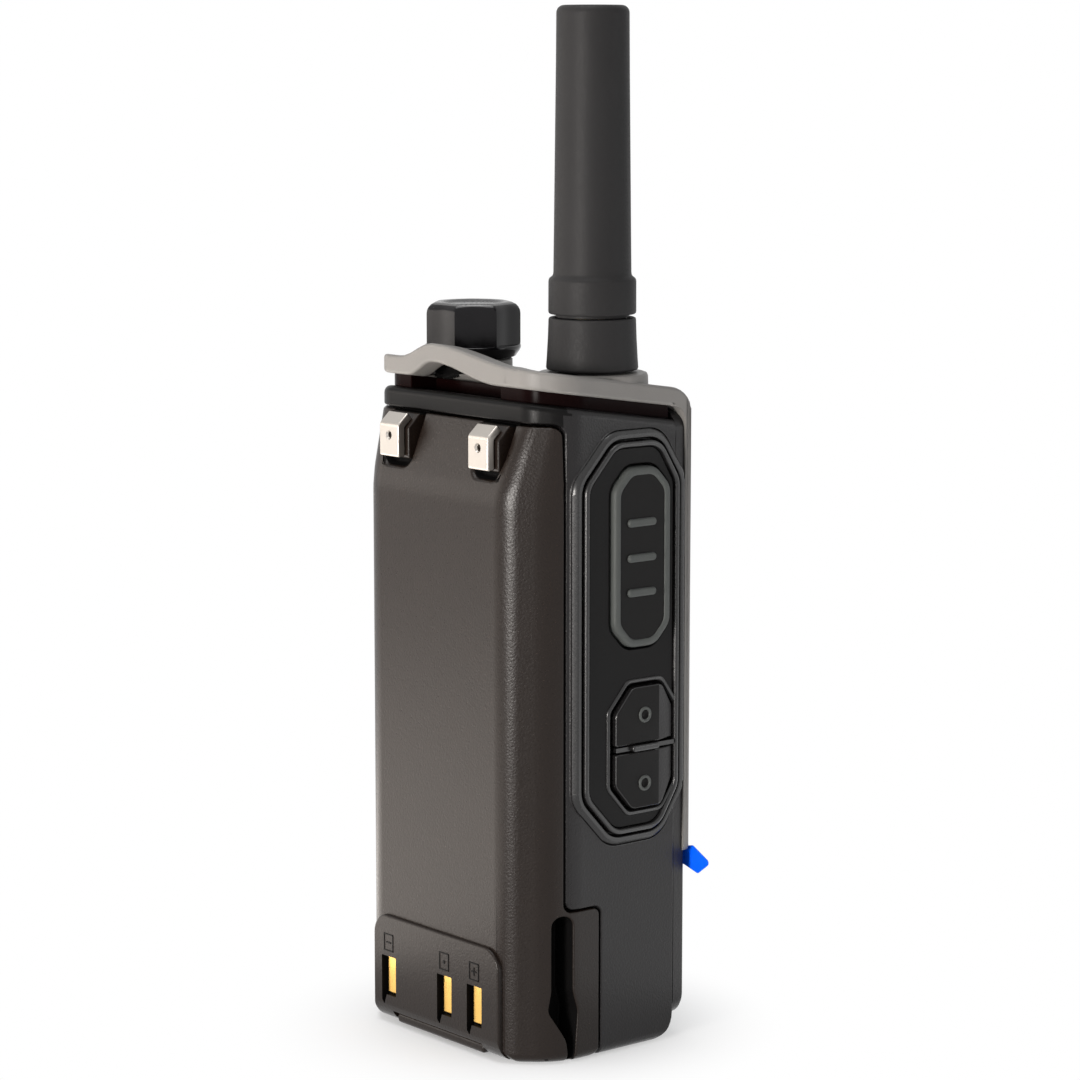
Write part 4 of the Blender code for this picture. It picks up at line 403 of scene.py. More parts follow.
def softEdges(piece, width, segments=2, angle=38.0):
    reshape(piece, lambda bm: bmesh.ops.remove_doubles(bm, verts=bm.verts, dist=0.01))
    step = piece.modifiers.new("soft", "BEVEL")
    step.width = width
    step.segments = segments
    step.limit_method = "ANGLE"
    step.angle_limit = math.radians(angle)
    step.use_clamp_overlap = False
    step.loop_slide = False
    bake(piece)


def gather(name, group):  # several closed shapes as one piece
    bm = bmesh.new()
    for part in group:
        bm.from_mesh(part.data)
        bpy.data.objects.remove(part, do_unlink=True)
    return newPiece(name, bm)


def settle(piece, body, slotName, finishName, *stands, flat=32.0):  # flat: sharper bends stay edges
    piece.data.transform(Matrix.Scale(mm, 4))
    piece.data.shade_smooth()
    piece.data.set_sharp_from_angle(angle=math.radians(flat))
    normals = piece.modifiers.new("normals", "WEIGHTED_NORMAL")
    normals.keep_sharp = True
    piece.data.materials.clear()
    piece.data.materials.append(finishes[finishName])
    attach(piece, body)
    if stands:
        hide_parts(*stands)


def shade(piece, finishName, picks):  # faces whose middle is picked take another finish
    piece.data.materials.append(finishes[finishName])
    for face in piece.data.polygons:
        if picks(*(face.center / mm)):
            face.material_index = len(piece.data.materials) - 1


# where things sit, shared by several pieces; cutting tools end at round numbers past the piece

radio = {"half": 27.0, "rearHalf": 21.5, "front": -20.3, "rear": 14.75, "corner": 9.75, "fall": 0.15}
knobPlace = (16.0, -2.4)
antennaPlace = (-16.5, -4.5)
screwPlaces = ((15.0, 48.0), (-15.0, 48.0), (15.0, 102.0), (-15.0, 102.0))
strap = {"x": (-12.0, 14.6), "y": (7.35, 10.0)}  # the lanyard's slot
panel = {"y": (-15.8, 7.0), "z": (41.3, 113.8), "cuts": (7.0, 4.8, 7.6), "radius": 4.6}
talk = {"y": (-13.1, 0.4), "z": (75.9, 109.0), "cuts": (3.6, 3.6, 3.8), "radius": 3.6}
keys = {"y": (-14.4, 0.1), "z": (46.0, 68.6), "cuts": (4.0, 3.2, 4.6), "radius": 2.0, "split": 57.3}
buttonFlange = (-24.7, -23.7)  # keeps the side buttons from falling out


def topSlope(height, y):  # the top falls towards the front
    return height + radio["fall"] * (y - radio["rear"])


def topPlan(inset=0.0):
    half, flat, front = radio["half"] - inset, radio["rearHalf"] - inset, radio["front"]
    rear, corner = radio["rear"] - inset, radio["corner"] - inset
    return roundOutline([(-half, front, 1.6), (half, front, 1.6), (half, corner, 8.0), (flat, rear, 6.0),
                         (-flat, rear, 6.0), (-half, corner, 8.0)])


def panelOutline(grow=0.0):
    return eightSided(*panel["y"], *panel["z"], *panel["cuts"], grow, panel["radius"] + grow * 0.6)


def talkOutline(grow=0.0, radius=talk["radius"]):
    return eightSided(*talk["y"], *talk["z"], *talk["cuts"], grow, radius)


def keysOutline(grow=0.0):
    return eightSided(*keys["y"], *keys["z"], *keys["cuts"], grow, keys["radius"])


def sideRings(outline, rows):  # rings on the side of the radio, from rows of (x, growth)
    return [[(x, u, v) for u, v in outline(grow)] for x, grow in rows]


# rear housing

housing = {"front": -15.75, "seam": 9.75, "lowSeam": 1.9, "step": 28.6, "stripLow": 117.5, "top": 121.4,
           "roof": 2.6, "wall": 2.0, "toe": 5.0, "foot": 2.2, "edge": 0.35, "shoulder": 1.5, "insideHalf": 25.0,
           "insideFront": -17.0, "ridgeFront": -17.3, "gap": 0.3, "bezelSeat": -26.2, "buttonDeep": -23.0,
           "potHole": 4.3, "socketHole": 4.6, "screwHole": 1.5, "screwSeat": 2.5,
           "coverSeat": (-8.3, 4.3, 69.7, 98.3, 2.5), "jacks": ((89.7, 2.0), (78.3, 1.5))}


def roundShoulder(bm):  # the edge under the grey top, apart from its front
    h = housing
    crown = [v for v in bm.verts if abs(v.co.z - topSlope(h["top"], v.co.y)) < 0.01]
    edges = [e for e in bm.edges if all(v in crown for v in e.verts)
             and (e.verts[0].co.y + e.verts[1].co.y) / 2 > h["front"] + 0.25]
    roundEdges(bm, edges, h["shoulder"], 5)


def makeHousing():
    h = housing
    half, rear, gap = radio["half"], radio["rear"], h["gap"]
    shell = pulled("rearHousing", "x", -half, half, roundOutline([
        (h["front"], 0.0, h["toe"]), (h["lowSeam"], 0.0), (h["lowSeam"], h["step"], 1.6),
        (h["seam"], h["step"], 1.6), (h["seam"], h["stripLow"], 2.1), (rear, h["stripLow"]), (rear, h["top"]),
        (h["front"], topSlope(h["top"], h["front"]))]))
    within(shell, pulled("plan", "z", -5.0, 130.0, topPlan()))
    within(shell, pulled("frontView", "y", -30.0, 30.0, roundOutline([
        (-half, 0.0, h["foot"]), (half, 0.0, h["foot"]), (half, 130.0), (-half, 130.0)])))
    reshape(shell, roundShoulder)
    ridge = lofted("ridge", sideRings(panelOutline, (
        (-26.1, 2.0), (-27.1, 2.0), (-27.75, 1.5), (-28.0, 1.15), (-28.0, 0.75))))
    within(ridge, block("ridgeFront", (-40, -20), (h["ridgeFront"], 30), (0, 200)))
    fuse(shell, ridge)
    front, wall, roof = h["insideFront"], h["wall"], h["top"] - h["roof"]
    back, lowBack, step = h["seam"] - wall, h["lowSeam"] - wall, h["step"] + wall
    cut(shell, "inside", "x", -h["insideHalf"], h["insideHalf"], [
        (front, wall + h["toe"]), (front + h["toe"], wall), (lowBack, wall), (lowBack, step), (back, step),
        (back, topSlope(roof, back)), (front, topSlope(roof, front))])
    cut(shell, "sealSeat", "y", -20.0, -15.3, rectangle(-25.9, 25.9, 1.1, 130.0, 4.0))
    for outline, deep in ((panelOutline, "bezelSeat"), (talkOutline, "buttonDeep"), (keysOutline, "buttonDeep")):
        cut(shell, "sideHole", "x", -30.0, h[deep], outline(gap))
    drill(shell, "potHole", "z", *knobPlace, 110.0, 130.0, h["potHole"])
    drill(shell, "socketHole", "z", *antennaPlace, 110.0, 130.0, h["socketHole"])
    carve(shell, block("contactWindow", (-8.3, 8.3), (4.0, 12.0), (32.2, 38.8)))
    for x, z in sorted(screwPlaces):
        drill(shell, "screwHole", "y", x, z, 4.0, 12.0, h["screwHole"], 20)
        drill(shell, "screwSeat", "y", x, z, 8.35, 12.0, h["screwSeat"])
    cut(shell, "coverSeat", "x", 25.6, 30.0, rectangle(*h["coverSeat"]))
    for z, radius in h["jacks"]:
        drill(shell, "jackHole", "x", -2.0, z, 20.0, 30.0, radius)
    softEdges(shell, h["edge"], 3)
    settle(shell, "radio", "black_case", "casePlastic", "rear_housing")
    # painted shade: the strip above the battery, under the overhanging grey top, takes the darker panel finish
    shade(shell, "panelPlastic", lambda x, y, z: y > 9.0 and z > 117.0)  # strip above the battery
    shade(shell, "beadPlastic", lambda x, y, z: x < -27.05)  # ridge round the side panel


screw = {"crossLong": 1.2, "crossWide": 0.22, "crossY": (9.05, 12),
         "profile": ((0, 9.55), (1.3, 9.55), (1.8, 9.45), (2.1, 9.25), (2.2, 9.0), (2.2, 8.65), (1.2, 8.65),
                     (1.2, 5.0), (0.9, 4.65), (0, 4.65))}


def makeScrews():
    long, wide = screw["crossLong"], screw["crossWide"]
    for number, (x, z) in enumerate(screwPlaces, 1):
        piece = spun("housingScrew%d" % number, (x, 0, z), screw["profile"], 40, "y")
        for u, v in ((long, wide), (wide, long)):
            carve(piece, block("driverSlot", (x - u, x + u), screw["crossY"], (z - v, z + v)))
        settle(piece, "radio", "steel", "plateSteel", "housing_screw_%d" % number)


makeHousing()
makeScrews()
print("rear housing made")


# grey top with its arch and the rim down the front

cover = {"low": 123.7, "high": 127.2, "rise": 2.95, "start": -19.0, "peak": 6.8, "end": 17.0, "archFrom": 5.0,
         "archRun": 4.5, "flatY": 4.0, "inner": (-16.9, -16.0), "rimBack": -18.1, "rimEnd": 35.6, "edge": 0.7,
         "slotClear": 0.9, "window": (-24.4, 24.4, 8.6, 112.0, 5.4), "antennaHole": 7.0, "knobHole": 6.4,
         "rear": (14.75, 13.9, 12.9, 11.9, 10.9, 9.1, 8.25, 6.5, 5.75, 5.0, 4.4)}  # lines along the arch


def hump(x, start, peak, end):
    if not start < x < end:
        return 0.0
    run = (x - start) / (peak - start) if x < peak else (end - x) / (end - peak)
    return 0.5 - 0.5 * math.cos(math.pi * run)


def archLine(x, lift, line):  # the arch swells from nothing at its front
    points = []
    for y, z in line:
        reach = min(1.0, max(0.0, (y - cover["archFrom"]) / cover["archRun"]))
        points.append((x, y, z + lift * reach * reach * (3 - 2 * reach)))
    return points


def coverRings():
    c = cover
    lowLine = [(y, topSlope(c["low"], y)) for y in reversed(c["rear"])]
    highLine = [(y, topSlope(c["high"], y)) for y in c["rear"]]
    flat, outer, (innerFoot, innerTop) = c["flatY"], radio["front"], c["inner"]
    front = roundOutline([(flat, topSlope(c["high"], flat)), (outer, topSlope(c["high"], outer), 6.0),
                          (outer, c["rimEnd"]), (innerFoot, c["rimEnd"]),
                          (innerTop, topSlope(c["low"], innerTop), 2.0), (flat, topSlope(c["low"], flat))])
    clear = c["slotClear"]  # no ring this near the ends of the slot
    slotStart, slotEnd = strap["x"]
    left, right = slotStart + clear, slotEnd - clear
    along = [c["start"] + (slotStart - clear - c["start"]) * step / 8 for step in range(9)]
    along += [left + (right - left) * step / 32 for step in range(33)]
    rings = []
    for x in (-radio["half"], *along, slotEnd + clear, c["end"], radio["half"]):
        up = c["rise"] * hump(x, c["start"], c["peak"], c["end"])
        under = c["rise"] * hump(x, slotStart, c["peak"], slotEnd)
        middle = [(x, y, z) for y, z in front[1:-1]]
        rings.append(archLine(x, up, highLine) + middle + archLine(x, under, lowLine))
    return rings


def topHoles(piece, sizes):
    for place, radius in ((antennaPlace, sizes["antennaHole"]), (knobPlace, sizes["knobHole"])):
        drill(piece, "topHole", "z", *place, 110, 140, radius, 64)


def makeTopCover():
    c = cover
    top = lofted("topCover", coverRings())
    within(top, pulled("plan", "z", -5.0, 140.0, topPlan()))
    cut(top, "frontWindow", "y", -30.0, -10.0, rectangle(*c["window"]))
    carve(top, block("lanyardSlot", strap["x"], strap["y"], (110, 140)))
    carve(top, block("archUnder", strap["x"], (strap["y"][0] + 0.5, 20.0), (110, 123.2)))
    softEdges(top, c["edge"], 4)
    topHoles(top, c)
    ceiling, back = c["low"] + 0.02, c["rimBack"]
    cut(top, "flankRoom", "x", -40, 40, roundOutline([
        (back, 0.0), (-10.0, 0.0), (-10.0, topSlope(ceiling, -10.0)), (back, topSlope(ceiling, back), 3.0)]))
    settle(top, "radio", "grey_trim", "greyPlastic", "top_cover")
    # painted shade: the far wall of the lanyard slot under the arch takes the near-black finish
    shade(top, "paintedShadeBlack", lambda x, y, z: 7.0 < y < 7.9 and z < 128.0 and -12.2 < x < 14.8)  # slot wall
    collar = spun("antennaCollar", (*antennaPlace, 0), [
        (6.3, 125.4), (9.6, 125.4), (10.0, 125.25), (10.2, 124.8), (10.3, 121.9), (6.3, 121.9)], closed=True)
    settle(collar, "radio", "grey_trim", "greyPlastic")
    neck = spun("knobNeck", (*knobPlace, 0), [
        (5.9, 125.8), (7.3, 125.8), (7.5, 125.6), (7.5, 122.3), (5.9, 122.3)], closed=True)
    settle(neck, "radio", "grey_trim", "greyPlastic")


makeTopCover()
print("top cover made")


# dark strip between housing and top

lightBar = {"low": 121.3, "high": 123.8, "y": (-15.1, 13.85), "inset": 1.4, "edge": 0.25, "antennaHole": 6.3,
            "knobHole": 5.9}


def makeLightBar():
    b = lightBar
    low, high, (front, rear) = b["low"], b["high"], b["y"]
    bar = pulled("lightBar", "x", -30, 30, [(rear, topSlope(low, rear)), (rear, topSlope(high, rear)),
                                            (front, topSlope(high, front)), (front, topSlope(low, front))])
    within(bar, pulled("plan", "z", 100, 140, topPlan(b["inset"])))
    carve(bar, block("strapWay", strap["x"], (strap["y"][0], 20), (100, 140)))
    topHoles(bar, b)
    softEdges(bar, b["edge"])
    settle(bar, "radio", "smoked_strip", "smokedStrip", "light_bar")


makeLightBar()
print("light bar made")


# front cover with slots, window and keys

front = {"face": -20.3, "inner": -18.5, "plateBack": -15.6, "plate": (-24.1, 24.1, 8.9, 111.7, 5.1),
         "plateRim": 0.9, "hollow": (-22.3, 22.3, 10.7, 109.9, 3.3), "flangeY": (-15.97, -15.45),
         "flange": (-25.7, 25.7, 4.8, 116.9, 2.0), "rimInside": 24.25, "rimUnder": 111.85, "rimGap": 0.05,
         "flank": ((-18.8, 26.1, 4.6, 118.0), (-18.6, 26.4, 4.2, 118.3), (-18.2, 26.6, 3.9, 118.4),
                   (-15.85, 26.85, 3.6, 118.4)),  # depth, half width, foot and head
         "slots": 7, "pitch": 3.6, "slotHalf": 0.8, "grille": 15.0, "grilleZ": 90.0, "sink": 0.22,
         "screenZ": 50.0, "screenHalf": (19.3, 15.3), "screenHole": (17.5, 13.5, 1.2),
         "paneHalf": (19.0, 15.0, 1.5), "keyHole": (5.55, 4.05), "soundHole": (17.0, 29.0)}
frontKeys = {"x": (-13.5, 0.0, 13.5), "z": 19.0, "y": (-21.0, -18.0), "half": (5.25, 3.75, 2.0), "rim": 0.7,
             "flangeY": (-18.2, -17.2), "flange": (6.2, 4.7, 2.4), "tickY": (-21.15, -20.6),
             "tick": (1.6, 0.3, 0.28, 4)}


def sunkHole(halfX, halfZ, x, z, radius, deep=-18.0):  # a hole with a slanted edge at the face
    face, sink = front["face"], front["sink"]
    return lofted("hole", [[(u, y, v) for u, v in centred(x, z, halfX + grow, halfZ + grow, radius + grow, 6)]
                           for y, grow in ((deep, 0.0), (face + sink, 0.0), (face, sink), (-30.0, sink))])


def makeFrontCover():
    f = front
    shell = lofted("frontCover", [[(u, y, v) for u, v in rectangle(-half, half, low, high, 4.0)]
                                  for y, half, low, high in f["flank"]])
    gap, side, end = f["rimGap"], f["rimInside"], cover["rimEnd"]
    for xs, low in (((-40, -side), end), ((side, 40), end), ((-40, 40), f["rimUnder"])):
        carve(shell, block("rimRoom", xs, (-30, cover["rimBack"] + gap), (low - gap, 140)))
    add(shell, "flange", "y", *f["flangeY"], rectangle(*f["flange"]))
    add(shell, "plateau", "y", f["face"], f["plateBack"], rectangle(*f["plate"]), lowRim=f["plateRim"],
        segments=4)
    cut(shell, "hollow", "y", f["inner"], -10, rectangle(*f["hollow"]))
    for slot in range(f["slots"]):
        height = (slot - (f["slots"] - 1) / 2) * f["pitch"]
        half = math.sqrt(f["grille"] ** 2 - height ** 2)
        carve(shell, sunkHole(half, f["slotHalf"], 0.0, f["grilleZ"] + height, 0.75))
    carve(shell, sunkHole(*f["screenHalf"], 0.0, f["screenZ"], 1.6, -19.1))
    cut(shell, "screenHole", "y", -30, -18, centred(0.0, f["screenZ"], *f["screenHole"]))
    for x in frontKeys["x"]:
        carve(shell, sunkHole(*f["keyHole"], x, frontKeys["z"], 2.1))
    carve(shell, sunkHole(0.7, 0.7, *f["soundHole"], 0.69))
    settle(shell, "radio", "black_case", "casePlastic", "front_cover")


def makeFrontKeys():
    k = frontKeys
    for name, x in zip(("left", "middle", "right"), k["x"]):
        key = pulled(name + "FrontKey", "y", *k["y"], centred(x, k["z"], *k["half"]), lowRim=k["rim"],
                     segments=4)
        add(key, "flange", "y", *k["flangeY"], centred(x, k["z"], *k["flange"]))
        add(key, "tick", "y", *k["tickY"], centred(x, k["z"], *k["tick"]), lowRim=0.12)
        settle(key, name + "_key", "black_rubber", "padRubber", "front_key_" + name)


def makePane():
    outline = centred(0.0, front["screenZ"], *front["paneHalf"])
    pane = pulled("displayPane", "y", -20.3, -19.4, outline, lowRim=0.25)
    settle(pane, "radio", "window_glass", "windowPane", "display_window")


makeFrontCover()
makeFrontKeys()
makePane()
print("front made")


# film on the window and its pull tab

film = {"y": (-20.78, -20.62), "sheet": (-20.0, 20.0, 34.0, 66.0, 1.8), "rim": 0.05, "tabY": (-20.82, -20.58),
        "tabRim": 0.08,
        "tab": ((-19.4, 32.4, 0.4), (-24.5, 32.2, 1.0), (-28.3, 31.15, 0.6), (-31.8, 33.75, 0.7),
                (-26.8, 36.3, 0.7), (-23.6, 35.6, 1.0), (-19.4, 35.2, 0.4))}


def makeFilm():
    f = film
    sheet = pulled("filmSheet", "y", *f["y"], rectangle(*f["sheet"]), lowRim=f["rim"])
    settle(sheet, "radio", "blue_film", "clearFilm", "screen_film")
    tab = pulled("filmTab", "y", *f["tabY"], roundOutline(f["tab"], 5), lowRim=f["tabRim"], highRim=f["tabRim"])
    settle(tab, "radio", "blue_film", "tabBlue")


makeFilm()
print("film made")


# eight-sided side panel, talk button and key pad

bezel = {"x": (-27.85, -26.5), "inset": -1.22, "beadHole": -1.26, "hole": 0.35, "lipHole": 0.55, "edge": 0.4,
         "barX": (-29.6, -26.6), "barY": (-10.0, -3.6), "barHalf": 0.6, "webX": (-28.6, -26.7),
         "webY": (-14.2, -0.2), "webHalf": 0.4}


def makeBezel():
    b = bezel
    bead = lofted("bezelBead", sideRings(panelOutline, (
        (-26.5, -0.1), (-27.7, -0.1), (-28.15, -0.18), (-28.4, -0.36), (-28.5, -0.65), (-28.42, -0.95),
        (-28.2, -1.15), (-27.8, -1.25), (-26.5, -1.28))))
    cut(bead, "beadHole", "x", -32, -20, panelOutline(b["beadHole"]))
    settle(bead, "radio", "black_case", "beadPlastic", flat=60)
    plate = pulled("sideBezel", "x", *b["x"], panelOutline(b["inset"]))
    for outline in (talkOutline, keysOutline):
        cut(plate, "buttonHole", "x", -32, -20, outline(b["hole"]))
    softEdges(plate, b["edge"], 3, 42)
    settle(plate, "radio", "black_case", "panelPlastic", "side_bezel")
    lip = lofted("keyLip", sideRings(keysOutline, (
        (-27.4, 1.4), (-27.85, 1.4), (-28.1, 1.27), (-28.2, 1.0), (-28.15, 0.75), (-28.0, 0.6), (-27.6, 0.5))))
    cut(lip, "keysHole", "x", -32, -20, keysOutline(b["lipHole"]))
    settle(lip, "radio", "black_case", "beadPlastic", flat=60)
    middle, half, web = keys["split"], b["barHalf"], b["webHalf"]
    bar = pulled("fingerBar", "x", *b["barX"], rectangle(*b["barY"], middle - half, middle + half, 0.5, 5),
                 lowRim=0.4, segments=4)
    add(bar, "web", "x", *b["webX"], rectangle(*b["webY"], middle - web, middle + web))
    settle(bar, "radio", "black_case", "beadPlastic")


talkButton = {"band": 1.5, "wellRadius": 2.8, "wellDeep": -26.0, "padX": (-28.6, -26.1), "padGrow": 0.06,
              "stemX": (-27.0, -24.0), "barX": (-29.2, -28.45), "barY": (-9.4, -2.75), "barHalf": 0.75,
              "bars": (98.85, 92.4, 86.05)}


def makeTalkButton():
    t = talkButton
    band, half, tight = t["band"], t["barHalf"], talk["radius"] - t["wellRadius"]
    rim = lofted("talkRim", [
        [(x, u, v) for u, v in talkOutline(-band * share, talk["radius"] - tight * share)] for x, share in (
            (-25.0, 0.0), (-27.9, 0.0), (-28.35, 0.04), (-28.68, 0.14), (-28.85, 0.3), (-28.9, 0.5),
            (-28.88, 0.75), (-28.78, 0.92), (-28.55, 1.05))])
    cut(rim, "well", "x", -40, t["wellDeep"], talkOutline(-band, t["wellRadius"]))
    settle(rim, "ptt", "grey_trim", "rimRubber", flat=60)
    pad = pulled("talkPad", "x", *t["padX"], talkOutline(t["padGrow"] - band, t["wellRadius"]))
    add(pad, "stem", "x", *t["stemX"], talkOutline(-2.6, 1.0))
    add(pad, "flange", "x", *buttonFlange, talkOutline(0.9, 2.0))
    settle(pad, "ptt", "black_rubber", "padRubber", "ptt_button")
    bars = gather("talkBars", [pulled("bar", "x", *t["barX"], rectangle(*t["barY"], z - half, z + half, 0.7, 6),
                                      lowRim=0.45, segments=5) for z in t["bars"]])
    settle(bars, "ptt", "grey_trim", "rimRubber")


sideKeys = {"x": (-29.0, -24.0), "gap": 0.75, "edge": 0.35, "facetY": -10.2, "facetX": -28.5, "facetSlope": 0.28,
            "flangeY": (-14.8, 0.9), "flangeHalf": 5.4, "flangeCuts": (3, 3, 3), "ringY": -6.75,
            "ringRadius": 1.18, "ringWire": 0.3, "ringSink": 0.02, "rings": {"upper": 63.35, "lower": 50.6}}


def slantFacet(bm):  # the front third of a key falls away
    y, x = sideKeys["facetY"], sideKeys["facetX"]
    geom = list(bm.verts) + list(bm.edges) + list(bm.faces)
    bmesh.ops.bisect_plane(bm, geom=geom, plane_co=(0, y, 0), plane_no=(0, 1, 0))
    for v in bm.verts:
        if v.co.x < x and v.co.y < y:
            v.co.x += sideKeys["facetSlope"] * (y - v.co.y)


def makeKey(name, zs):  # zs is the half of the pad that this key takes
    k = sideKeys
    face, ringY, ringZ, reach = k["x"][0], k["ringY"], k["rings"][name], k["flangeHalf"]
    pad = pulled(name + "SideKey", "x", *k["x"], keysOutline())
    within(pad, block("half", (-40, -20), (-30, 30), zs))
    reshape(pad, slantFacet)
    softEdges(pad, k["edge"], 3, 42)
    add(pad, "flange", "x", *buttonFlange, eightSided(
        *k["flangeY"], ringZ - reach, ringZ + reach, *k["flangeCuts"], radius=1.0))
    carve(pad, spun("dimple", (face - 0.9, ringY, ringZ), [
        (0, 1.25), (0.35, 1.22), (0.7, 1.05), (0.95, 0.8), (0.95, -1.0), (0, -1.0)], 40, "x"))
    settle(pad, name + "_key", "black_rubber", "padRubber", name + "_side_key")
    # painted highlight: the key's edges take a lighter, glossier finish and its slanted front facet a lighter one,
    # for the light they catch
    shade(pad, "beadPlastic",  # edges
          lambda x, y, z: x > face + 0.03 and math.hypot(y - ringY, z - ringZ) > 1.1)
    shade(pad, "casePlastic", lambda x, y, z: x < -27.6 and -13.9 < y < -10.6)  # facet
    radius, wire, sink = k["ringRadius"], k["ringWire"], k["ringSink"]
    ring = spun(name + "KeyRing", (face, ringY, ringZ), [
        (radius + wire * math.cos(a), wire * math.sin(a) - sink) for a in fullTurn(12)], 48, "x", closed=True)
    settle(ring, name + "_key", "black_rubber", "rimRubber")


makeBezel()
makeTalkButton()
makeKey("upper", (keys["split"] + sideKeys["gap"], 200))
makeKey("lower", (0, keys["split"] - sideKeys["gap"]))
print("side controls made")


# volume knob

knob = {"lobes": 7, "lobeSteps": 24, "hollow": 0.02, "turn": 119.6, "drop": 0.5, "bore": 3.2, "boreTop": 132.5,
        "rings": ((7.7, 126.6, 0), (8.1, 126.75, 0), (8.9, 127.9, 0), (9.1, 128.4, 0), (9.1, 128.75, 0),
                  (9.0, 128.95, 0.1), (9.05, 129.05, 0.95), (9.1, 129.3, 1.0), (9.1, 132.0, 1.0),
                  (9.1, 134.9, 1.0), (9.0, 135.5, 1.0), (8.7, 136.1, 0.95), (8.2, 136.6, 0.85),
                  (7.5, 136.93, 0.6), (6.8, 137.0, 0.3), (6.1, 136.97, 0), (5.75, 136.85, 0),
                  (5.5, 136.62, 0), (5.2, 136.55, 0), (0.6, 136.5, 0))}  # radius, height and scoop


def knobRing(radius, z, scoop):  # scoop 0 is round, 1 is fully scalloped
    k = knob
    half = math.pi / k["lobes"]
    points = []
    for angle in fullTurn(k["lobes"] * k["lobeSteps"]):
        off = (angle + half) % (2 * half) - half  # from the middle of a flat scallop
        cut = math.cos(half) / math.cos(off) - k["hollow"] * math.cos(off * math.pi / (2 * half)) ** 2
        cut = min(cut, 0.985 + 0.015 * math.cos((half - abs(off)) * 9))  # blunts the corners
        r = radius * (1 - scoop * (1 - cut))
        turn = angle + math.radians(k["turn"]) + half
        points.append((knobPlace[0] + r * math.cos(turn), knobPlace[1] + r * math.sin(turn), z - k["drop"]))
    return points


def makeKnob():
    grip = lofted("volumeKnob", [knobRing(*row) for row in knob["rings"]])
    drill(grip, "bore", "z", *knobPlace, 120, knob["boreTop"], knob["bore"], 48)
    settle(grip, "knob", "gloss_black", "knobPlastic", "volume_knob", flat=40)
    # painted reflection: the knob's top faces take the lighter finish
    shade(grip, "paintedKnobTopSheen", lambda x, y, z: z > 135.95)


makeKnob()
print("knob made")


# antenna

antenna = {"tip": 191.5, "tipHalf": 6.6, "tipRadius": 1.4, "tipFlat": 2.5, "steps": 128}


def makeAntenna():
    a = antenna
    place, tip, radius = (*antennaPlace, 0), a["tip"], a["tipRadius"]
    boss = spun("antennaBoss", place, [
        (6.9, 135.4), (7.65, 135.4), (7.88, 135.28), (7.98, 135.0), (8.1, 131.5), (8.3, 128.0), (8.42, 126.3),
        (8.35, 126.05), (8.2, 125.9), (6.0, 125.9), (6.0, 120.3), (4.6, 120.3), (4.6, 133.1), (6.9, 133.1)],
        a["steps"], closed=True)
    settle(boss, "radio", "antenna_black", "antennaRubber", "antenna_boss")
    dome = [(a["tipHalf"] - radius * (1 - math.sin(turn)), tip - radius * (1 - math.cos(turn)))
            for turn in quarterTurn(10)]
    sleeve = spun("antennaSleeve", place, [
        (0, tip), (a["tipFlat"], tip), *dome, (6.68, 180), (6.85, 165), (7.02, 150), (7.1, 143.6), (7.16, 143.2),
        (7.3, 142.9), (7.8, 142.5), (7.93, 142.3), (8.0, 141.9), (8.02, 136.55), (7.94, 136.2), (7.75, 136.05),
        (6.7, 136.05), (6.7, 135.5), (3.0, 135.5), (3.0, 144.4), (0, 144.4)], a["steps"])
    settle(sleeve, "antenna", "antenna_black", "antennaRubber", "antenna_sleeve")


makeAntenna()
print("antenna made")


# battery

battery = {"back": 19.0, "top": 117.05, "ramp": 104.5, "rampRun": 12.65, "slope": 0.332, "bend": 2.5,
           "seam": 10.3, "lowSeam": 2.35, "step": 28.2, "foot": 2.0, "edge": 0.3, "flat": 19.7, "slant": 7.3,
           "stepRadius": 1.3, "crownRadius": 1.8, "grooveIn": 21.5, "heel": (19.03, 4.0),
           "cellBay": ((-18.5, 18.5), (5, 17.2), (31, 102)),
           "heights": (36, 70, 100, 102, 103, 104, 105, 106, 107, 112)}
plates = {"x": (-13.3, 13.3), "half": 2.9, "rim": 0.28, "carrierHalf": 3.8, "holeZ": 112.9, "hole": 0.6,
          "dishY": 19.25, "pocketZ": (107.0, 122.0), "pocketHalf": (4.1, 5.3), "pocketMiddle": 112}
latch = {"half": 13.3, "edge": 0.7, "boreZ": 2.55, "boreEnd": 13.9, "bore": 1.35, "roomX": (-13.6, 13.6)}


def backLine(z):  # the back leans forward above the ramp, with a soft bend
    b = battery
    over = z - (b["ramp"] - b["bend"])
    if over <= 0:
        return b["back"]
    if over < 2 * b["bend"]:
        return b["back"] - b["slope"] * over * over / (4 * b["bend"])
    return b["back"] - b["slope"] * (z - b["ramp"])


def batteryRing(z, inset=0.0):
    b = battery
    run = min(1.0, max(0.0, (z - b["ramp"]) / b["rampRun"]))
    half, near, rear = radio["half"] - inset, b["lowSeam"] + inset, backLine(z) - inset
    flat, slant = b["flat"] + 1.8 * run - 0.4 * inset, b["slant"] - 2.3 * run
    side, heel = slant * 1.64, slant * 0.96  # the slanted corner is mostly curve
    outline = roundOutline([(-half, near), (half, near), (half, rear - slant, side), (flat, rear, heel),
                            (-flat, rear, heel), (-half, rear - slant, side)], 14)
    return [(x, y, z) for x, y in outline]


def heelTool(back, radius):  # rounds the lower rear edge
    return pulled("heel", "x", -40, 40, roundOutline([
        (-5, -0.02), (back, -0.02, radius), (back, 140), (-5, 140)]))


def lipSlot():  # the way of the latch's lip
    return block("lipSlot", latch["roomX"], (10, 40), (-6, 2.55))


def roundStep(y, z, radius):  # a quarter circle that ends on the height z
    return [(y + radius * (1 - math.cos(a)), z - radius * (1 - math.sin(a))) for a in quarterTurn(6)]


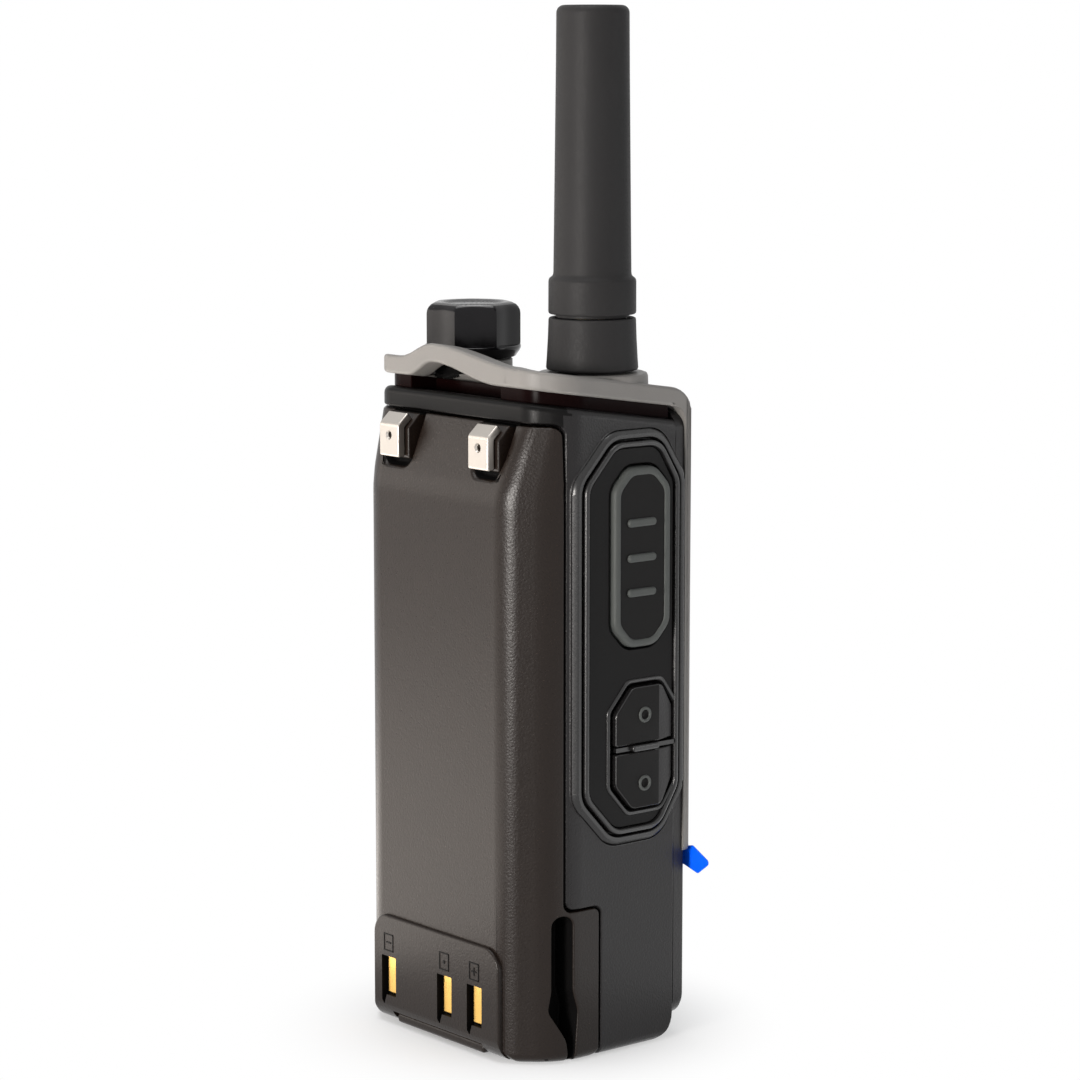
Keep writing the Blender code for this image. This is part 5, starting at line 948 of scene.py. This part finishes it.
def pocketTool(x):  # dished, in the plane of the ramp
    (low, high), (lowHalf, highHalf), middle = plates["pocketZ"], plates["pocketHalf"], plates["pocketMiddle"]
    rings = []
    for sink, grow in ((-1.7, -0.55), (-0.5, -0.1), (0.0, 0.2), (1.5, 1.1)):
        outline = roundOutline([(-lowHalf - grow, low - grow, 2.4), (lowHalf + grow, low - grow, 2.4),
                                (highHalf + grow, high), (-highHalf - grow, high)])
        rings.append([(x + u, backLine(middle) - battery["slope"] * (v - middle) + sink, v) for u, v in outline])
    return lofted("pocket", rings)


# painted shade: picks the faces inside the rail grooves and the plate pockets, where shade falls, for the
# near-black finish
def paintedHollowShade(x, y, z):  # inside the rail grooves and the pockets of the plates
    if z < 28:
        return z > 0.5 and 6.9 < y < 13.3 and 20 < abs(x) < (26.4 if y < 9.2 else 24.7)
    return 107.2 < z < 117.3 and abs(abs(x) - plates["x"][1]) < 5.0 and y < backLine(z) - 0.5


def makeBatteryCase():
    b = battery
    foot = [(b["foot"] * (1 - math.cos(a)), b["foot"] * (1 - math.sin(a))) for a in quarterTurn(6)]
    rings = [batteryRing(z, inset) for inset, z in reversed(foot)]
    rings += [batteryRing(z) for z in b["heights"]]
    rings += [batteryRing(116.75), batteryRing(116.97, 0.1), batteryRing(b["top"], 0.35)]
    case = lofted("batteryCase", rings)
    seam, step, corner, bend = b["seam"], b["step"], b["stepRadius"], b["crownRadius"]
    cut(case, "seamStep", "x", -40, 40, roundOutline([
        (-3.0, step - corner), *roundStep(b["lowSeam"], step, corner), (seam, step, 1.6),
        *roundStep(seam, b["top"], bend), (seam + bend, 130), (-3.0, 130)]))
    carve(case, block("cellBay", *b["cellBay"]))
    for x in plates["x"]:
        carve(case, pocketTool(x))
        add(case, "carrier", "x", x - plates["carrierHalf"], x + plates["carrierHalf"], [
            (12.0, 108.6), (17.5, 108.6), (17.9, 109.0), (17.9, 114.4), (15.4, 116.9), (12.0, 116.9)])
    within(case, heelTool(*b["heel"]))
    cut(case, "panelSeat", "y", 17.9, 30, rectangle(-17.5, 17.5, 3.2, 13.8, 0.5))
    for low, high in ((b["grooveIn"], 40), (-40, -b["grooveIn"])):
        cut(case, "railGroove", "x", low, high, roundOutline([
            (8.4, 27.6, 1.9), (12.4, 27.6, 1.9), (12.4, 13.6, 5.0), (12.95, 9.8, 2.5), (9.7, 4.2, 5.0),
            (9.0, -2.0), (8.1, -2.0), (7.7, 4.6, 6.0), (7.3, 9.6, 4.0), (8.4, 13.4, 5.0)]))
    carve(case, block("latchPocket", latch["roomX"], (8.3, 16.3), (-5, 5.1)))
    carve(case, lipSlot())
    softEdges(case, b["edge"], 3, 40)
    settle(case, "battery", "battery_black", "batteryPlastic", "battery_case")
    # painted shade in the rail grooves and plate pockets
    shade(case, "paintedShadeBlack", paintedHollowShade)


contacts = {"x": (13.9, -3.3, -12.3), "y": (18.3, 18.9), "z": (5.9, 12.9), "half": 1.6, "rim": 0.15,
            "panelY": (14.5, 19.8), "panelHalf": 19.0, "panelZ": (0.4, 21.1), "panelHeel": (19.83, 4.6),
            "slot": ((1.75, 3.5), (2.5, 4.4), (2.5, 13.2), (-1.9, 13.2), (-1.9, 5.6), (1.0, 5.6))}


def makeContactPanel():
    c = contacts
    half, (low, high) = c["panelHalf"], c["panelZ"]
    plate = pulled("contactPanel", "y", *c["panelY"], roundOutline([
        (-half, low), (half, low), (half, high, 4.0), (-half, high, 4.0)]), highRim=0.45, segments=4)
    within(plate, heelTool(*c["panelHeel"]))
    for x in c["x"]:
        slot = roundOutline([(x + u, v, 0.2) for u, v in c["slot"]], 4)
        cut(plate, "contactSlot", "y", 18.0, 30, slot)
    carve(plate, lipSlot())
    settle(plate, "battery", "battery_black", "batteryPlastic")
    # painted shade: the insides of the contact slots take the near-black finish
    shade(plate, "paintedShadeBlack", lambda x, y, z: 3.2 < z < 13.6 and 17.5 < y < 19.5 and abs(x) < 17.0)  # slots


def makeContacts():
    c = contacts
    for number, x in enumerate(c["x"], 1):
        leaf = block("chargeContact%d" % number, (x - c["half"], x + c["half"]), c["y"], c["z"], c["rim"], 3)
        settle(leaf, "battery", "gold", "contactGold", "charge_contact_%d" % number)


# lines of the marks are (left, right, low, high)
marks = {"shift": 0.3, "y": (19.6, 19.92), "rim": 0.05, "frame": [
    (-1.45, -1.2, 14.2, 17.6), (-1.45, 1.45, 14.2, 14.45), (-1.45, 1.45, 17.35, 17.6), (1.2, 1.45, 14.2, 17.6)],
    "minus": [(-0.75, 0.75, 15.75, 16.05)], "dot": [(-0.3, 0.3, 15.5, 16.1)],
    "plus": [(-0.75, 0.75, 15.75, 16.05), (-0.15, 0.15, 15.1, 16.7)]}


def makeMarks():  # a framed sign over each contact
    lines = []
    for x, sign in zip(contacts["x"], ("minus", "dot", "plus")):
        middle = x + marks["shift"]
        lines += [block("line", (middle + left, middle + right), marks["y"], (low, high), marks["rim"], 1)
                  for left, right, low, high in marks["frame"] + marks[sign]]
    settle(gather("polarityMarks", lines), "battery", "battery_black", "panelPlastic")


def makeClipPlates():
    p = plates
    profile = roundOutline([(19.65, 108.9, 0.5), (19.65, 115.0, 1.2), (17.35, 117.1, 0.3), (16.3, 116.0, 0.2),
                            (18.1, 114.4, 0.5), (18.1, 108.9, 0.3)], 6)
    for name, x in zip(("left", "right"), p["x"]):
        plate = pulled(name + "ClipPlate", "x", x - p["half"], x + p["half"], profile, lowRim=p["rim"],
                       highRim=p["rim"])
        drill(plate, "hole", "y", x, p["holeZ"], 10, 30, p["hole"])
        carve(plate, spun("dish", (x, p["dishY"], p["holeZ"]), [
            (0, 0.6), (1.05, 0.6), (0.59, 0), (0, 0)], 32, "y"))
        settle(plate, "battery", "steel", "plateSteel", "belt_clip_plate_" + name)


def makeLatch():
    lever = pulled("batteryLatch", "x", -latch["half"], latch["half"], [
        (10.6, 0.3), (18.6, 0.3), (18.6, 2.3), (16.0, 2.3), (16.0, 4.8), (10.6, 4.8)])
    softEdges(lever, latch["edge"], 4)
    drill(lever, "bore", "y", 0, latch["boreZ"], 5, latch["boreEnd"], latch["bore"])
    settle(lever, "latch", "battery_black", "batteryPlastic", "battery_latch")


spring = {"radius": 1.0, "wire": 0.2, "turns": 5, "turnSteps": 24, "start": 8.8, "length": 4.6}


def makeSpring():
    s = spring
    count = s["turns"] * s["turnSteps"]
    rings = []
    for step in range(count + 1):
        angle = 2 * math.pi * step / s["turnSteps"]
        out = Vector((math.cos(angle), 0.0, math.sin(angle)))
        middle = s["radius"] * out + Vector((0.0, s["start"] + s["length"] * step / count, latch["boreZ"]))
        rings.append([middle + s["wire"] * (out * math.cos(a) + Vector((0, 1, 0)) * math.sin(a))
                      for a in fullTurn(10)])
    coil = lofted("latchSpring", rings)
    settle(coil, "battery", "steel", "plateSteel", "latch_spring", flat=60)
    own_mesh(coil)


makeBatteryCase()
makeContactPanel()
makeContacts()
makeMarks()
makeClipPlates()
makeLatch()
makeSpring()
print("battery made")


# socket cover on the far side

socketLid = {"x": (25.9, 28.3), "outline": (-8.0, 4.0, 70.0, 98.0, 2.2), "outerRim": 0.6, "innerRim": 0.3,
             "ribs": (80.0, 82.0, 84.0, 86.0, 88.0), "ribY": (-4.5, 1.5), "ribHalf": 0.35}


def makeSocketCover():
    s = socketLid
    lid = pulled("socketCover", "x", *s["x"], rectangle(*s["outline"]), highRim=s["outerRim"],
                 lowRim=s["innerRim"], segments=4)
    for z in s["ribs"]:
        cut(lid, "rib", "x", 28.0, 30, rectangle(*s["ribY"], z - s["ribHalf"], z + s["ribHalf"], 0.3, 4))
    settle(lid, "socket_cover", "black_rubber", "padRubber", "jack_cover")


makeSocketCover()
print("socket cover made")


# CAD pieces whose shape stays

kept = {
    "padRubber": ["main_seal", "accessory_jack", "contact_block", "antenna_seal"],
    "plateSteel": ["microphone", "ptt_switch", "upper_switch", "lower_switch", "volume_pot", "pot_shaft",
                   "rf_shield"],
    "turnedBrass": ["pot_nut", "antenna_socket", "antenna_stud"],
    "castAlloy": ["chassis", "speaker_frame"],
    "boardGreen": ["side_board", "main_board", "battery_board"],
    "windowPane": ["display_module"],
    "cellWrap": ["battery_cell"],
    "conePaper": ["speaker_cone"],
    "batteryPlastic": ["battery_inner_cover"],
}
for finishName, names in kept.items():
    for name in names:
        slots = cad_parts[name].data.materials
        slots.clear()
        slots.append(finishes[finishName])
print("inner pieces finished")
